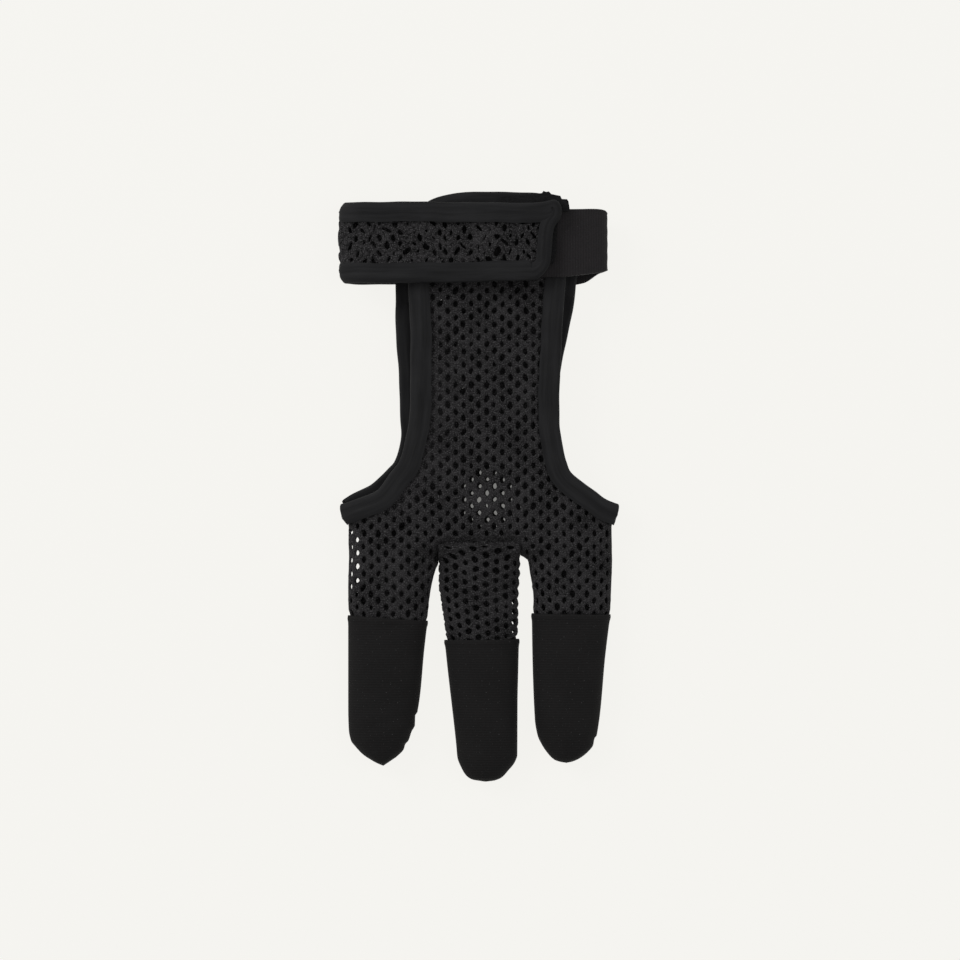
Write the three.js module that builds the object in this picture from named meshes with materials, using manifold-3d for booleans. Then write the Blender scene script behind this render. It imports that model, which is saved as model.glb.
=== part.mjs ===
// Three-finger archery glove, lying flat with the back of the hand up.
// Millimetres. +Z is up from the surface it lies on, +Y runs from the fingertips to the wrist,
// +X is to the right seen from above. The origin is on that surface, under the middle of the glove.
//
// The net body is one hollow form: a wide hand that splits into three fingers. It is cut along
// its sides into a back panel and a palm panel. Tape is folded over their free edges. Closed
// stalls cover the fingertips. A netted strap and an elastic band make the loop round the wrist,
// and a hook patch fastens one on the other.
import * as THREE from "three";
import { mergeVertices } from "three/addons/utils/BufferGeometryUtils.js";
import Module from "manifold-3d";

const wasm = await Module();
wasm.setup();

// Cloth thicknesses and clearances
const netWall = 1.0; // knitted net
const tapeWall = 1.0; // one layer of the folded edge tape
const stallWall = 1.6; // fingertip cloth
const elasticWall = 1.2;
const hookWall = 1.0;
const seamGap = 0.3; // between any two pieces that are sewn together or lie on each other
const tapeWidth = 7.3; // of the folded tape, on the face
const stallTuck = 4.0; // how far the net goes into each fingertip stall

// Hand and neck
const handWidth = 95.2; // across the knuckles
const handShift = 0.4; // middle of the knuckles, to the right of the origin
const seamHeight = 5.2; // side seams, above the surface
const handRise = 7.6; // back of the hand, above the side seams
const neckRise = 7.2; // back of the neck, above the side seams
const handDrop = 4.9; // palm, below the side seams
const neckDrop = 3.8; // palm side of the neck, below the side seams
const wristReach = 105.7; // origin to the top edge of the back panel
const webReach = 25.6; // origin to the webs between the fingers
const edgeFoot = 8.0; // origin to where the bound edges meet the side seams

// Fingers
const fingerWidth = 28.6; // a stall's mouth
const fingerLength = 81.0; // middle finger, from the webs to its tip
const fingerRise = 6.4; // back of a finger, above the side seams
const fingerRoot = 8.0; // how far a finger's tube runs on into the hand
const middleSeam = 6.1; // from the webs back to the seam across the base of the middle finger

// Wrist strap, elastic band and hook patch
const strapWidth = 28.8;
const wristPeek = 3.8; // how far the top edge of the back panel shows past the strap
const strapSpan = 96.9; // outside of the strap's fold to the outside of the elastic's fold
const strapShift = -2.35; // middle of that span, from the origin
const strapEnd = 24.8; // free end of the strap, to the right of the origin
const strapRise = 1.2; // how much higher the free end lies than the rest of the strap
const strapJoin = 20.0; // where strap and elastic are sewn end to end under the palm
const strapCorner = 4.0; // radius of the free end's corners
const strapEndTape = 4.9; // width of the tape across the free end
const elasticWidth = 24.0;
const elasticInset = 2.9; // lower edge of the elastic in front, above the strap's
const elasticEnd = 3.0; // hidden end of the elastic, under the free end of the strap
const elasticDrift = 3.4; // how much lower the elastic runs behind than in front
const hookLength = 24.5;
const hookHeight = 25.0;
const hookPeek = 7.6; // how far the patch sticks out past the free end of the strap
const hookPoke = 0.9; // how far it sticks out past the top edge of the back panel
const palmLap = 20.0; // how far the palm panel lies over the strap
const palmRamp = 7.0; // length over which it climbs onto the strap

// Net gaps that are cut through: every second gap of the real net, each twice as wide
const gapPitchAcross = 6.0;
const gapPitchAlong = 9.6;
const gapWidth = 3.0;
const gapLength = 4.2;
const gapMargin = 1.2; // net left between a gap and a tape or an edge

// One row for each finger: where its base, its stall's mouth and its tip are. Places across are
// shares of half the hand width, widths of fingerWidth, and reaches past the webs of fingerLength.
const fingerTable = [
  {
    name: "index",
    base: -0.658, baseWidth: 1.098,
    mouth: -0.685, mouthWidth: 0.997, mouthReach: 0.277,
    tip: -0.729, tipReach: 0.923, slant: -0.08,
  },
  {
    name: "middle",
    base: 0.0, baseWidth: 1.028,
    mouth: 0.023, mouthWidth: 0.93, mouthReach: 0.364,
    tip: 0.048, tipReach: 1.0, slant: 0.07,
  },
  {
    name: "ring",
    base: 0.683, baseWidth: 1.077,
    mouth: 0.693, mouthWidth: 1.0, mouthReach: 0.252,
    tip: 0.66, tipReach: 0.911, slant: -0.02,
  },
];

// Each row is a section of a finger's net: a share of the way from the webs to the stall, of the
// change from the base to the mouth, and of the finger's height
const fingerNetShape = [
  { along: 0.0, taper: 0.05, height: 0.97 },
  { along: 0.5, taper: 0.55, height: 1.0 },
];

// Each row is a section: shares of the stall's length, the mouth's width and the finger's height
const stallShape = [
  { along: 0.0, width: 1.0, height: 1.0 },
  { along: 0.36, width: 0.922, height: 0.98 },
  { along: 0.66, width: 0.85, height: 0.94 },
  { along: 0.82, width: 0.765, height: 0.88 },
  { along: 0.91, width: 0.62, height: 0.76 },
  { along: 0.97, width: 0.4, height: 0.56 },
  { along: 1.0, width: 0.14, height: 0.3 },
];

// In the next three tables along is a share of webReach where it is negative, towards the
// fingers, and of wristReach where it is positive.

// Each row is a section of the hand, from the webs to the wrist. width is a share of handWidth,
// neck runs from 0 at the hand's height to 1 at the neck's, swell is a share of that height, and
// square is how boxy the back is.
const handShape = [
  { along: -1.0, width: 0.994, neck: 0.0, swell: 0.35, square: 2.6 },
  { along: -0.94, width: 0.994, neck: 0.0, swell: 0.72, square: 2.6 },
  { along: -0.805, width: 0.996, neck: 0.0, swell: 1.0, square: 2.6 },
  { along: -0.586, width: 0.994, neck: 0.3, swell: 1.0, square: 2.6 },
  { along: -0.293, width: 1.034, neck: 0.6, swell: 1.0, square: 2.8 },
  { along: 0.01, width: 0.99, neck: 0.8, swell: 1.0, square: 3.1 },
  { along: 0.12, width: 0.9, neck: 0.9, swell: 1.0, square: 4.0 },
  { along: 0.3, width: 0.86, neck: 1.0, swell: 1.0, square: 5.0 },
];

// Outer edges of the tape on the back panel. left and right are shares of half the hand width.
const backEdge = [
  { along: -0.256, left: -1.02, right: 1.034 },
  { along: -0.178, left: -0.895, right: 0.94 },
  { along: -0.083, left: -0.775, right: 0.87 },
  { along: 0.005, left: -0.72, right: 0.795 },
  { along: 0.043, left: -0.664, right: 0.692 },
  { along: 0.08, left: -0.604, right: 0.655 },
  { along: 0.12, left: -0.571, right: 0.63 },
  { along: 0.17, left: -0.549, right: 0.61 },
  { along: 0.225, left: -0.527, right: 0.597 },
  { along: 0.36, left: -0.519, right: 0.602 },
  { along: 0.5, left: -0.521, right: 0.62 },
  { along: 0.685, left: -0.538, right: 0.658 },
  { along: 0.85, left: -0.53, right: 0.66 },
  { along: 0.92, left: -0.49, right: 0.64 },
  { along: 0.967, left: -0.408, right: 0.59 },
  { along: 0.994, left: -0.242, right: 0.483 },
  { along: 1.0, left: -0.06, right: 0.317 },
];

// The same for the palm panel, which is a little wider and runs on under the strap
const palmEdge = [
  { along: -0.207, left: -1.03, right: 0.955 },
  { along: -0.124, left: -0.96, right: 0.885 },
  { along: -0.05, left: -0.88, right: 0.83 },
  { along: 0.004, left: -0.81, right: 0.77 },
  { along: 0.032, left: -0.733, right: 0.7 },
  { along: 0.06, left: -0.675, right: 0.662 },
  { along: 0.08, left: -0.635, right: 0.64 },
  { along: 0.12, left: -0.6, right: 0.615 },
  { along: 0.17, left: -0.583, right: 0.595 },
  { along: 0.225, left: -0.588, right: 0.585 },
  { along: 0.36, left: -0.605, right: 0.6 },
  { along: 0.5, left: -0.628, right: 0.66 },
  { along: 0.685, left: -0.632, right: 0.733 },
  { along: 1.1, left: -0.632, right: 0.733 },
];

// Sizes that follow from those above
const fingers = fingerTable.map((row) => ({
  name: row.name,
  baseX: (row.base * handWidth) / 2,
  baseWidth: row.baseWidth * fingerWidth,
  mouthX: (row.mouth * handWidth) / 2,
  mouthWidth: row.mouthWidth * fingerWidth,
  mouthReach: webReach + row.mouthReach * fingerLength,
  tipX: (row.tip * handWidth) / 2,
  tipReach: webReach + row.tipReach * fingerLength,
  slant: row.slant,
}));
const middleSeamReach = webReach - middleSeam; // origin to that seam
const foldDepth = tapeWall + seamGap; // from the outside of a folded tape to the net's edge
const boundThickness = netWall + 2 * foldDepth;
const strapBackHeight = boundThickness / 2;
const lapHeight = boundThickness + seamGap; // underside of the palm panel where it lies on the strap
const backTop = seamHeight + neckRise + foldDepth; // top of the tape on the back of the neck
const elasticHeight = backTop + seamGap + elasticWall / 2;
const hookUnderside = elasticHeight + elasticWall / 2 + seamGap;
const strapOverHook = hookUnderside + hookWall + seamGap + boundThickness / 2;
const strapOverBack = backTop + seamGap + boundThickness / 2;
const strapHigh = wristReach - wristPeek; // upper edge of the strap
const strapFoot = strapHigh - strapWidth; // and its lower edge
const elasticFoot = strapFoot + elasticInset;
const bandFoot = Math.min(strapFoot, elasticFoot - elasticDrift);
const palmTop = strapFoot + palmLap;
const reachAll = 2 * (wristReach + handWidth); // longer than the glove in any direction
const palmSquare = 4.0; // how boxy the palm side of the hand is
const wristSquare = 6.0; // the back at the wrist
const fingerSquare = 2.2; // and the fingers, all round
const rootHeight = 0.9; // share of a finger's height where it starts inside the hand
const handSides = 24; // faces round a section of the hand
const fingerSides = 18;
const clearShare = 0.985; // a moved point that lies nearer than this to its curve is in a loop
const edgeSteps = 22; // straight stretches along each side of a bound edge
const strapSteps = 27;
const cornerSteps = 5;
const elasticSteps = 24;

// Solids

function solidOf(geometry) {
  const bare = geometry.clone();
  bare.deleteAttribute("normal");
  bare.deleteAttribute("uv");
  const merged = mergeVertices(bare, 1e-4);
  return new wasm.Manifold(
    new wasm.Mesh({
      numProp: 3,
      vertProperties: merged.attributes.position.array,
      triVerts: new Uint32Array(merged.index.array),
    }),
  );
}

function geometryOf(solid) {
  const mesh = solid.getMesh();
  const geometry = new THREE.BufferGeometry();
  geometry.setAttribute("position", new THREE.BufferAttribute(mesh.vertProperties, mesh.numProp));
  geometry.setIndex(new THREE.BufferAttribute(mesh.triVerts, 1));
  geometry.computeVertexNormals();
  return geometry;
}

function unionOf(solids) {
  return solids.reduce((joined, next) => joined.add(next));
}

// A solid between rings of equally many points, closed with a fan at each end.
function loft(rings) {
  const sides = rings[0].length;
  const positions = rings.flat().flatMap((p) => [p.x, p.y, p.z]);
  const index = [];
  for (let row = 0; row < rings.length - 1; row++) {
    for (let i = 0; i < sides; i++) {
      const a = row * sides + i;
      const b = row * sides + ((i + 1) % sides);
      index.push(a, b, b + sides, a, b + sides, a + sides);
    }
  }
  const last = (rings.length - 1) * sides;
  for (let i = 1; i < sides - 1; i++) {
    index.push(0, i + 1, i, last, last + i, last + i + 1);
  }
  const geometry = new THREE.BufferGeometry();
  geometry.setAttribute("position", new THREE.BufferAttribute(new Float32Array(positions), 3));
  geometry.setIndex(index);
  const solid = solidOf(geometry);
  if (solid.volume() > 0) return solid;
  geometry.setIndex(index.map((_, k) => index[k - (k % 3) + 2 - (k % 3)]));
  return solidOf(geometry);
}

function prism(outline, low, high) {
  const settings = { depth: high - low, bevelEnabled: false };
  const geometry = new THREE.ExtrudeGeometry(new THREE.Shape(outline), settings);
  return solidOf(geometry.translate(0, 0, low));
}

function block(x0, x1, y0, y1, z0, z1) {
  const geometry = new THREE.BoxGeometry(x1 - x0, y1 - y0, z1 - z0);
  return solidOf(geometry.translate((x0 + x1) / 2, (y0 + y1) / 2, (z0 + z1) / 2));
}

// Everything on one side of a height y
function upTo(y) {
  return block(-reachAll, reachAll, -reachAll, y, -reachAll, reachAll);
}

const above = block(-reachAll, reachAll, -reachAll, reachAll, seamHeight + seamGap / 2, reachAll);
const below = block(-reachAll, reachAll, -reachAll, reachAll, -reachAll, seamHeight - seamGap / 2);
const leftHalf = block(-reachAll, 0, -reachAll, reachAll, -reachAll, reachAll);

// Hollow forms. A row gives y, the middle x, the half width, the rise and drop from the side
// seams, how boxy the back and the palm are, and how the section slants.

function section(row, grow, sides) {
  const ring = [];
  for (let i = 0; i < sides; i++) {
    const angle = (2 * Math.PI * i) / sides;
    const [c, s] = [Math.cos(angle), Math.sin(angle)];
    const square = s >= 0 ? row.square : row.palmSquare;
    const across = Math.sign(c) * Math.abs(c) ** (2 / square) * (row.half + grow);
    const height = s * Math.max((s >= 0 ? row.rise : row.drop) + grow, seamGap);
    ring.push(new THREE.Vector3(row.x + across, row.y + row.slant * across, seamHeight + height));
  }
  return ring;
}

function reachOf(along) {
  return along * (along < 0 ? webReach : wristReach);
}

function handRows() {
  const rows = handShape.map((row) => ({
    y: reachOf(row.along),
    x: handShift,
    half: (row.width * handWidth) / 2,
    rise: (handRise + (neckRise - handRise) * row.neck) * row.swell,
    drop: (handDrop + (neckDrop - handDrop) * row.neck) * row.swell,
    square: row.square,
    palmSquare,
    slant: 0,
  }));
  const neck = { ...rows[rows.length - 1], square: wristSquare };
  const wrist = { ...neck, drop: seamHeight - lapHeight };
  return [
    ...rows,
    { ...neck, y: bandFoot - palmRamp },
    { ...wrist, y: bandFoot - foldDepth },
    { ...wrist, y: wristReach + tapeWidth },
  ];
}

function handForm(grow) {
  const rows = handRows();
  rows[0] = { ...rows[0], y: rows[0].y - Math.min(grow, 0) };
  return loft(rows.map((row) => section(row, grow, handSides)));
}

function fingerRow(finger, y, x, width, height, slantShare) {
  return {
    y,
    x,
    half: width / 2,
    rise: fingerRise * height,
    drop: seamHeight * height,
    square: fingerSquare,
    palmSquare: fingerSquare,
    slant: finger.slant * slantShare,
  };
}

// The net of a finger: from inside the hand to its step into the stall, and on into the stall.
function fingerNet(finger, grow) {
  const inside = -Math.min(grow, 0);
  const tuckIn = grow - stallWall - seamGap;
  const shoulder = -finger.mouthReach + seamGap + inside;
  const depth = (stallTuck + inside) / (finger.tipReach - finger.mouthReach);
  const ringAt = (y, taper, height, by) => {
    const x = finger.baseX + (finger.mouthX - finger.baseX) * taper;
    const width = finger.baseWidth + (finger.mouthWidth - finger.baseWidth) * taper;
    return section(fingerRow(finger, y, x, width, height, taper), by, fingerSides);
  };
  return loft([
    ringAt(fingerRoot - webReach + inside, 0, rootHeight, grow),
    ...fingerNetShape.map((part) => {
      const y = -webReach - part.along * (finger.mouthReach - webReach);
      return ringAt(y, part.taper, part.height, grow);
    }),
    ringAt(shoulder, 1, 1, grow),
    ringAt(shoulder - seamGap, 1, 1, tuckIn),
    section(stallRow(finger, stallPartAt(depth), 0), tuckIn, fingerSides),
  ]);
}

// The stall's shape at a share of its length, short of the first table row's end.
function stallPartAt(along) {
  const next = stallShape[1];
  const share = along / next.along;
  return { along, width: 1 + (next.width - 1) * share, height: 1 + (next.height - 1) * share };
}

function stallRow(finger, part, inset) {
  const y = -finger.mouthReach - part.along * (finger.tipReach - finger.mouthReach - inset);
  const x = finger.mouthX + (finger.tipX - finger.mouthX) * part.along;
  return fingerRow(finger, y, x, finger.mouthWidth * part.width, part.height, 1 - part.along ** 2);
}

function fingerStall(finger) {
  const ringAt = (part, grow) => section(stallRow(finger, part, -grow), grow, fingerSides);
  const outer = loft(stallShape.map((part) => ringAt(part, 0)));
  const hollow = stallShape.slice(0, -2).map((part) => ringAt(part, -stallWall));
  const doorstep = { ...stallRow(finger, stallShape[0], 0), y: -finger.mouthReach + stallTuck };
  return outer.subtract(loft([section(doorstep, -stallWall, fingerSides), ...hollow]));
}

// Edges seen from above

function edgeCurve(rows) {
  const side = (name) => {
    const points = rows.map((row) => new THREE.Vector2((row[name] * handWidth) / 2, reachOf(row.along)));
    return new THREE.SplineCurve(points).getSpacedPoints(edgeSteps);
  };
  const start = new THREE.Vector2(-handWidth, -edgeFoot);
  const end = new THREE.Vector2(handWidth, -edgeFoot);
  return [start, ...side("left"), ...side("right").reverse(), end];
}

// The curve moved into the panel by a distance, without the loops that tight corners would give.
function moveIn(curve, distance) {
  const last = curve.length - 1;
  const moved = curve.map((p, i) => {
    if (i === 0 || i === last) return new THREE.Vector2(p.x, p.y - distance);
    const along = curve[i + 1].clone().sub(curve[i - 1]).normalize();
    return new THREE.Vector2(p.x + along.y * distance, p.y - along.x * distance);
  });
  const isClear = (p) => curve.every((q) => p.distanceTo(q) > distance * clearShare);
  return moved.filter((p, i) => i === 0 || i === last || isClear(p));
}

// Everything inside a bound edge, down past the fingertips.
function insideEdge(curve) {
  const farRight = new THREE.Vector2(handWidth, -reachAll);
  const farLeft = new THREE.Vector2(-handWidth, -reachAll);
  return prism([...curve, farRight, farLeft].reverse(), -reachAll, reachAll);
}

const backCurve = edgeCurve(backEdge);
const palmCurve = edgeCurve(palmEdge);

// The net body, hollow, with its three finger tubes
const netOuter = unionOf([handForm(0), ...fingers.map((finger) => fingerNet(finger, 0))]);
const netInner = unionOf([handForm(-netWall), ...fingers.map((finger) => fingerNet(finger, -netWall))]);
const netShell = netOuter.subtract(netInner);
const tapeShell = handForm(foldDepth).subtract(handForm(-netWall - foldDepth));
const tapeSlot = handForm(seamGap).subtract(handForm(-netWall - seamGap));

// The middle finger's net is a tube of its own, sewn to both panels across its base
const [index, middle, ring] = fingers;
const leftWeb = (index.baseX + index.baseWidth / 2 + middle.baseX - middle.baseWidth / 2) / 2;
const rightWeb = (middle.baseX + middle.baseWidth / 2 + ring.baseX - ring.baseWidth / 2) / 2;
function middleRegion(grow) {
  const top = -middleSeamReach + grow;
  return block(leftWeb - grow, rightWeb + grow, -reachAll, top, -reachAll, reachAll);
}

// Diamond gaps of the net, in staggered columns over a region {left, right, low, high}, cut from
// the height floor upwards wherever the gap's middle is allowed
function netGaps(region, floor, allowed = () => true) {
  const gaps = [];
  const columns = Math.floor((region.right - region.left - gapWidth) / gapPitchAcross);
  const firstX = (region.left + region.right - columns * gapPitchAcross) / 2;
  const rows = Math.floor(((region.high - region.low) * 2) / gapPitchAlong);
  for (let column = 0; column <= columns; column++) {
    for (let row = column % 2; row <= rows; row += 2) {
      const x = firstX + column * gapPitchAcross;
      const y = region.high - gapLength / 2 - (row * gapPitchAlong) / 2;
      if (y - gapLength / 2 < region.low || !allowed(x, y)) continue;
      const diamond = [
        new THREE.Vector2(x + gapWidth / 2, y),
        new THREE.Vector2(x, y + gapLength / 2),
        new THREE.Vector2(x - gapWidth / 2, y),
        new THREE.Vector2(x, y - gapLength / 2),
      ];
      gaps.push(prism(diamond, floor, reachAll));
    }
  }
  return gaps;
}

// How far a curve reaches left and right at a height y.
function spanAt(curve, y) {
  const crossings = [];
  for (let i = 0; i < curve.length - 1; i++) {
    const [a, b] = [curve[i], curve[i + 1]];
    if ((a.y - y) * (b.y - y) > 0 || a.y === b.y) continue;
    crossings.push(a.x + ((b.x - a.x) * (y - a.y)) / (b.y - a.y));
  }
  return [Math.min(...crossings), Math.max(...crossings)];
}

// Whether a gap lies on the hand between the tapes, or on the back of an outer finger.
const clearOfTape = moveIn(backCurve, tapeWidth + gapMargin + gapWidth / 2);
const lowestTape = Math.min(...clearOfTape.slice(1, -1).map((p) => p.y));
const knuckleSpan = [gapWidth * 2 - handWidth / 2, handWidth / 2 - gapWidth * 2];
function onBackNet(x, y) {
  if (y < gapMargin + gapLength / 2 - middleSeamReach) {
    const near = [index, ring].find((finger) => Math.abs(x - finger.baseX) < finger.baseWidth / 3);
    return Boolean(near) && y > gapLength / 2 + gapMargin - near.mouthReach;
  }
  const spans = [y, y + gapLength / 2].map((at) => (at < lowestTape ? knuckleSpan : spanAt(clearOfTape, at)));
  return spans.every(([left, right]) => x > left && x < right);
}

const handRegion = {
  left: -handWidth / 2,
  right: handWidth / 2,
  low: -ring.mouthReach,
  high: strapFoot - gapMargin,
};
const middleNetRegion = {
  left: middle.mouthX - middle.mouthWidth / 2 + gapWidth,
  right: middle.mouthX + middle.mouthWidth / 2 - gapWidth,
  low: gapMargin - middle.mouthReach,
  high: -middleSeamReach - gapMargin,
};

const backPanel = netShell
  .intersect(above)
  .intersect(insideEdge(moveIn(backCurve, foldDepth)))
  .subtract(middleRegion(seamGap))
  .subtract(unionOf(netGaps(handRegion, seamHeight, onBackNet)));
const palmPanel = netShell
  .intersect(below)
  .intersect(insideEdge(moveIn(palmCurve, foldDepth)))
  .intersect(upTo(palmTop))
  .subtract(middleRegion(seamGap));
const middleNet = netShell
  .intersect(middleRegion(0))
  .subtract(unionOf(netGaps(middleNetRegion, seamHeight)));

// Tape folded over an edge: a thick band along the edge, with a slot for the net
function edgeTape(curve, half) {
  const band = insideEdge(curve).subtract(insideEdge(moveIn(curve, tapeWidth)));
  const slot = tapeSlot.intersect(insideEdge(moveIn(curve, tapeWall)));
  return tapeShell.intersect(band).intersect(half).subtract(slot);
}

const backTape = edgeTape(backCurve, above);
const palmTape = edgeTape(palmCurve, below).intersect(upTo(bandFoot - seamGap));

// Straps: a flat band that follows a route. Each row of a route gives its place across and up,
// and how far the band has moved along the glove there.
function route(rows, steps) {
  const points = rows.map((row) => new THREE.Vector3(row.across, row.along, row.up));
  return new THREE.CatmullRomCurve3(points, false, "centripetal").getSpacedPoints(steps);
}

function band(path, low, high, thickness) {
  const rings = path.map((p, i) => {
    const before = path[Math.max(i - 1, 0)];
    const after = path[Math.min(i + 1, path.length - 1)];
    const along = new THREE.Vector2(after.x - before.x, after.z - before.z).normalize();
    const out = new THREE.Vector3(-along.y, 0, along.x).multiplyScalar(thickness / 2);
    const corner = (sign, y) => new THREE.Vector3(p.x + sign * out.x, p.y + y, p.z + sign * out.z);
    return [corner(1, low), corner(1, high), corner(-1, high), corner(-1, low)];
  });
  return loft(rings);
}

// The path without a length at its end or at its start.
function shorten(path, atStart, atEnd) {
  const cut = (points, length) => {
    let left = length;
    const kept = [...points];
    while (kept.length > 2 && kept[0].distanceTo(kept[1]) <= left) {
      left -= kept[0].distanceTo(kept[1]);
      kept.shift();
    }
    const ahead = kept[1].clone().sub(kept[0]).normalize();
    kept[0] = kept[0].clone().addScaledVector(ahead, left);
    return kept;
  };
  return cut(cut([...path], atStart).reverse(), atEnd).reverse();
}

const strapFold = strapShift - strapSpan / 2 + boundThickness / 2;
const elasticFold = strapShift + strapSpan / 2 - elasticWall / 2;
const foldHeight = (strapBackHeight + strapOverBack) / 2;
const strapPath = route(
  [
    { across: strapEnd, along: strapRise, up: strapOverHook },
    { across: strapEnd * 0.55, along: strapRise * 0.7, up: strapOverHook },
    { across: elasticEnd - elasticWall * 4, along: strapRise * 0.35, up: strapOverHook - hookWall / 2 },
    { across: strapFold * 0.45, along: 0, up: strapOverBack + elasticWall / 4 },
    { across: strapFold * 0.76, along: 0, up: strapOverBack - elasticWall / 2 },
    { across: strapFold * 0.93, along: 0, up: strapOverBack - boundThickness },
    { across: strapFold, along: 0, up: foldHeight },
    { across: strapFold * 0.93, along: 0, up: strapBackHeight + boundThickness * 0.8 },
    { across: strapFold * 0.82, along: 0, up: strapBackHeight + boundThickness * 0.22 },
    { across: strapFold * 0.7, along: 0, up: strapBackHeight + seamGap / 2 },
    { across: strapFold * 0.5, along: 0, up: strapBackHeight },
    { across: 0, along: 0, up: strapBackHeight },
    { across: strapJoin, along: 0, up: strapBackHeight },
  ],
  strapSteps,
);

// The free end seen from above, with its two rounded corners
const strapPlan = new THREE.Shape();
const strapTop = strapHigh + strapRise;
const cornerX = strapEnd - strapCorner;
strapPlan.moveTo(-reachAll, -reachAll);
strapPlan.lineTo(-reachAll, strapTop);
strapPlan.lineTo(cornerX, strapTop);
strapPlan.absarc(cornerX, strapTop - strapCorner, strapCorner, Math.PI / 2, 0, true);
strapPlan.lineTo(strapEnd, strapFoot + strapRise + strapCorner);
strapPlan.absarc(cornerX, strapFoot + strapRise + strapCorner, strapCorner, 0, -Math.PI / 2, true);
strapPlan.lineTo(cornerX, -reachAll);
const strapOutline = prism(strapPlan.getPoints(cornerSteps), -reachAll, reachAll);

const corePath = shorten(strapPath, foldDepth, 0);
const strapCore = band(corePath, strapFoot + foldDepth, strapHigh - foldDepth, netWall);
const strapRegion = {
  left: strapFold + boundThickness,
  right: strapEnd - strapEndTape - gapMargin,
  low: strapFoot + tapeWidth + gapMargin,
  high: strapHigh - tapeWidth - gapMargin / 2,
};
const strapNet = strapCore.subtract(unionOf(netGaps(strapRegion, foldHeight)));

// The strap's tape: a thick band without the window in its middle and the slot for the net
const windowPath = shorten(strapPath, strapEndTape, -tapeWidth);
const slotPath = shorten(strapPath, tapeWall, -tapeWidth);
const strapWindow = band(windowPath, strapFoot + tapeWidth, strapHigh - tapeWidth, boundThickness * 2);
const strapSlot = band(slotPath, strapFoot + tapeWall, strapHigh - tapeWall, netWall + 2 * seamGap);
const strapTape = band(strapPath, strapFoot, strapHigh, boundThickness)
  .intersect(strapOutline)
  .subtract(strapWindow)
  .subtract(strapSlot);

const elasticPath = route(
  [
    { across: elasticEnd, along: 0, up: elasticHeight },
    { across: elasticFold * 0.62, along: 0, up: elasticHeight },
    { across: elasticFold * 0.84, along: 0, up: elasticHeight - elasticWall },
    { across: elasticFold * 0.96, along: -elasticDrift * 0.3, up: elasticHeight - elasticWall * 3 },
    { across: elasticFold, along: -elasticDrift * 0.5, up: foldHeight },
    { across: elasticFold * 0.95, along: -elasticDrift * 0.75, up: boundThickness },
    { across: elasticFold * 0.82, along: -elasticDrift, up: strapBackHeight },
    { across: strapJoin + seamGap, along: -elasticDrift, up: strapBackHeight },
  ],
  elasticSteps,
);
const elastic = band(elasticPath, elasticFoot, elasticFoot + elasticWidth, elasticWall);

// Hook patch: most of it is hidden under the strap's free end; a ragged cut corner sticks out
const hookLeft = strapEnd + hookPeek - hookLength;
const hookTop = wristReach + hookPoke;
const hookOutline = [
  { across: 0.0, up: 0.0 },
  { across: 0.72, up: 0.0 },
  { across: 0.72, up: 0.68 },
  { across: 0.99, up: 0.7 },
  { across: 1.0, up: 0.84 },
  { across: 0.965, up: 0.875 },
  { across: 0.9, up: 0.865 },
  { across: 0.885, up: 0.93 },
  { across: 0.8, up: 0.945 },
  { across: 0.74, up: 0.975 },
  { across: 0.7, up: 0.97 },
  { across: 0.64, up: 1.0 },
  { across: 0.6, up: 0.94 },
  { across: 0.0, up: 0.88 },
].map((p) => new THREE.Vector2(hookLeft + p.across * hookLength, hookTop - (1 - p.up) * hookHeight));
const hookPatch = prism(hookOutline, hookUnderside, hookUnderside + hookWall);

// Materials: everything is black cloth
const cloth = (color, roughness) => new THREE.MeshStandardMaterial({ color, roughness, metalness: 0 });
const net = cloth(0x232325, 0.9);
const tape = cloth(0x26262a, 0.8);
const stallCloth = cloth(0x1f1e20, 0.88);
const elasticCloth = cloth(0x28272a, 0.82);
const hookTapeCloth = cloth(0x141415, 0.7);

const glove = new THREE.Group();
function addPiece(name, solid, material) {
  const mesh = new THREE.Mesh(geometryOf(solid), material);
  mesh.name = name;
  glove.add(mesh);
}

addPiece("back_panel", backPanel, net);
addPiece("palm_panel", palmPanel, net);
addPiece("middle_finger_net", middleNet, net);
for (const finger of fingers) addPiece(`${finger.name}_stall`, fingerStall(finger), stallCloth);
addPiece("back_edge_tape", backTape, tape);
addPiece("palm_edge_tape_left", palmTape.intersect(leftHalf), tape);
addPiece("palm_edge_tape_right", palmTape.subtract(leftHalf), tape);
addPiece("strap_net", strapNet, net);
addPiece("strap_edge_tape", strapTape, tape);
addPiece("elastic_band", elastic, elasticCloth);
addPiece("hook_patch", hookPatch, hookTapeCloth);

export default glove;
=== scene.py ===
"""Three-finger archery glove of knitted net, lying with the back of the hand up.

Sizes inside the functions are millimetres. +Y runs from the fingertips to the wrist and +Z up.
Cloth is laid out flat first, as it would be cut, and each flat point is then put on the body.
"""

import math

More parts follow.
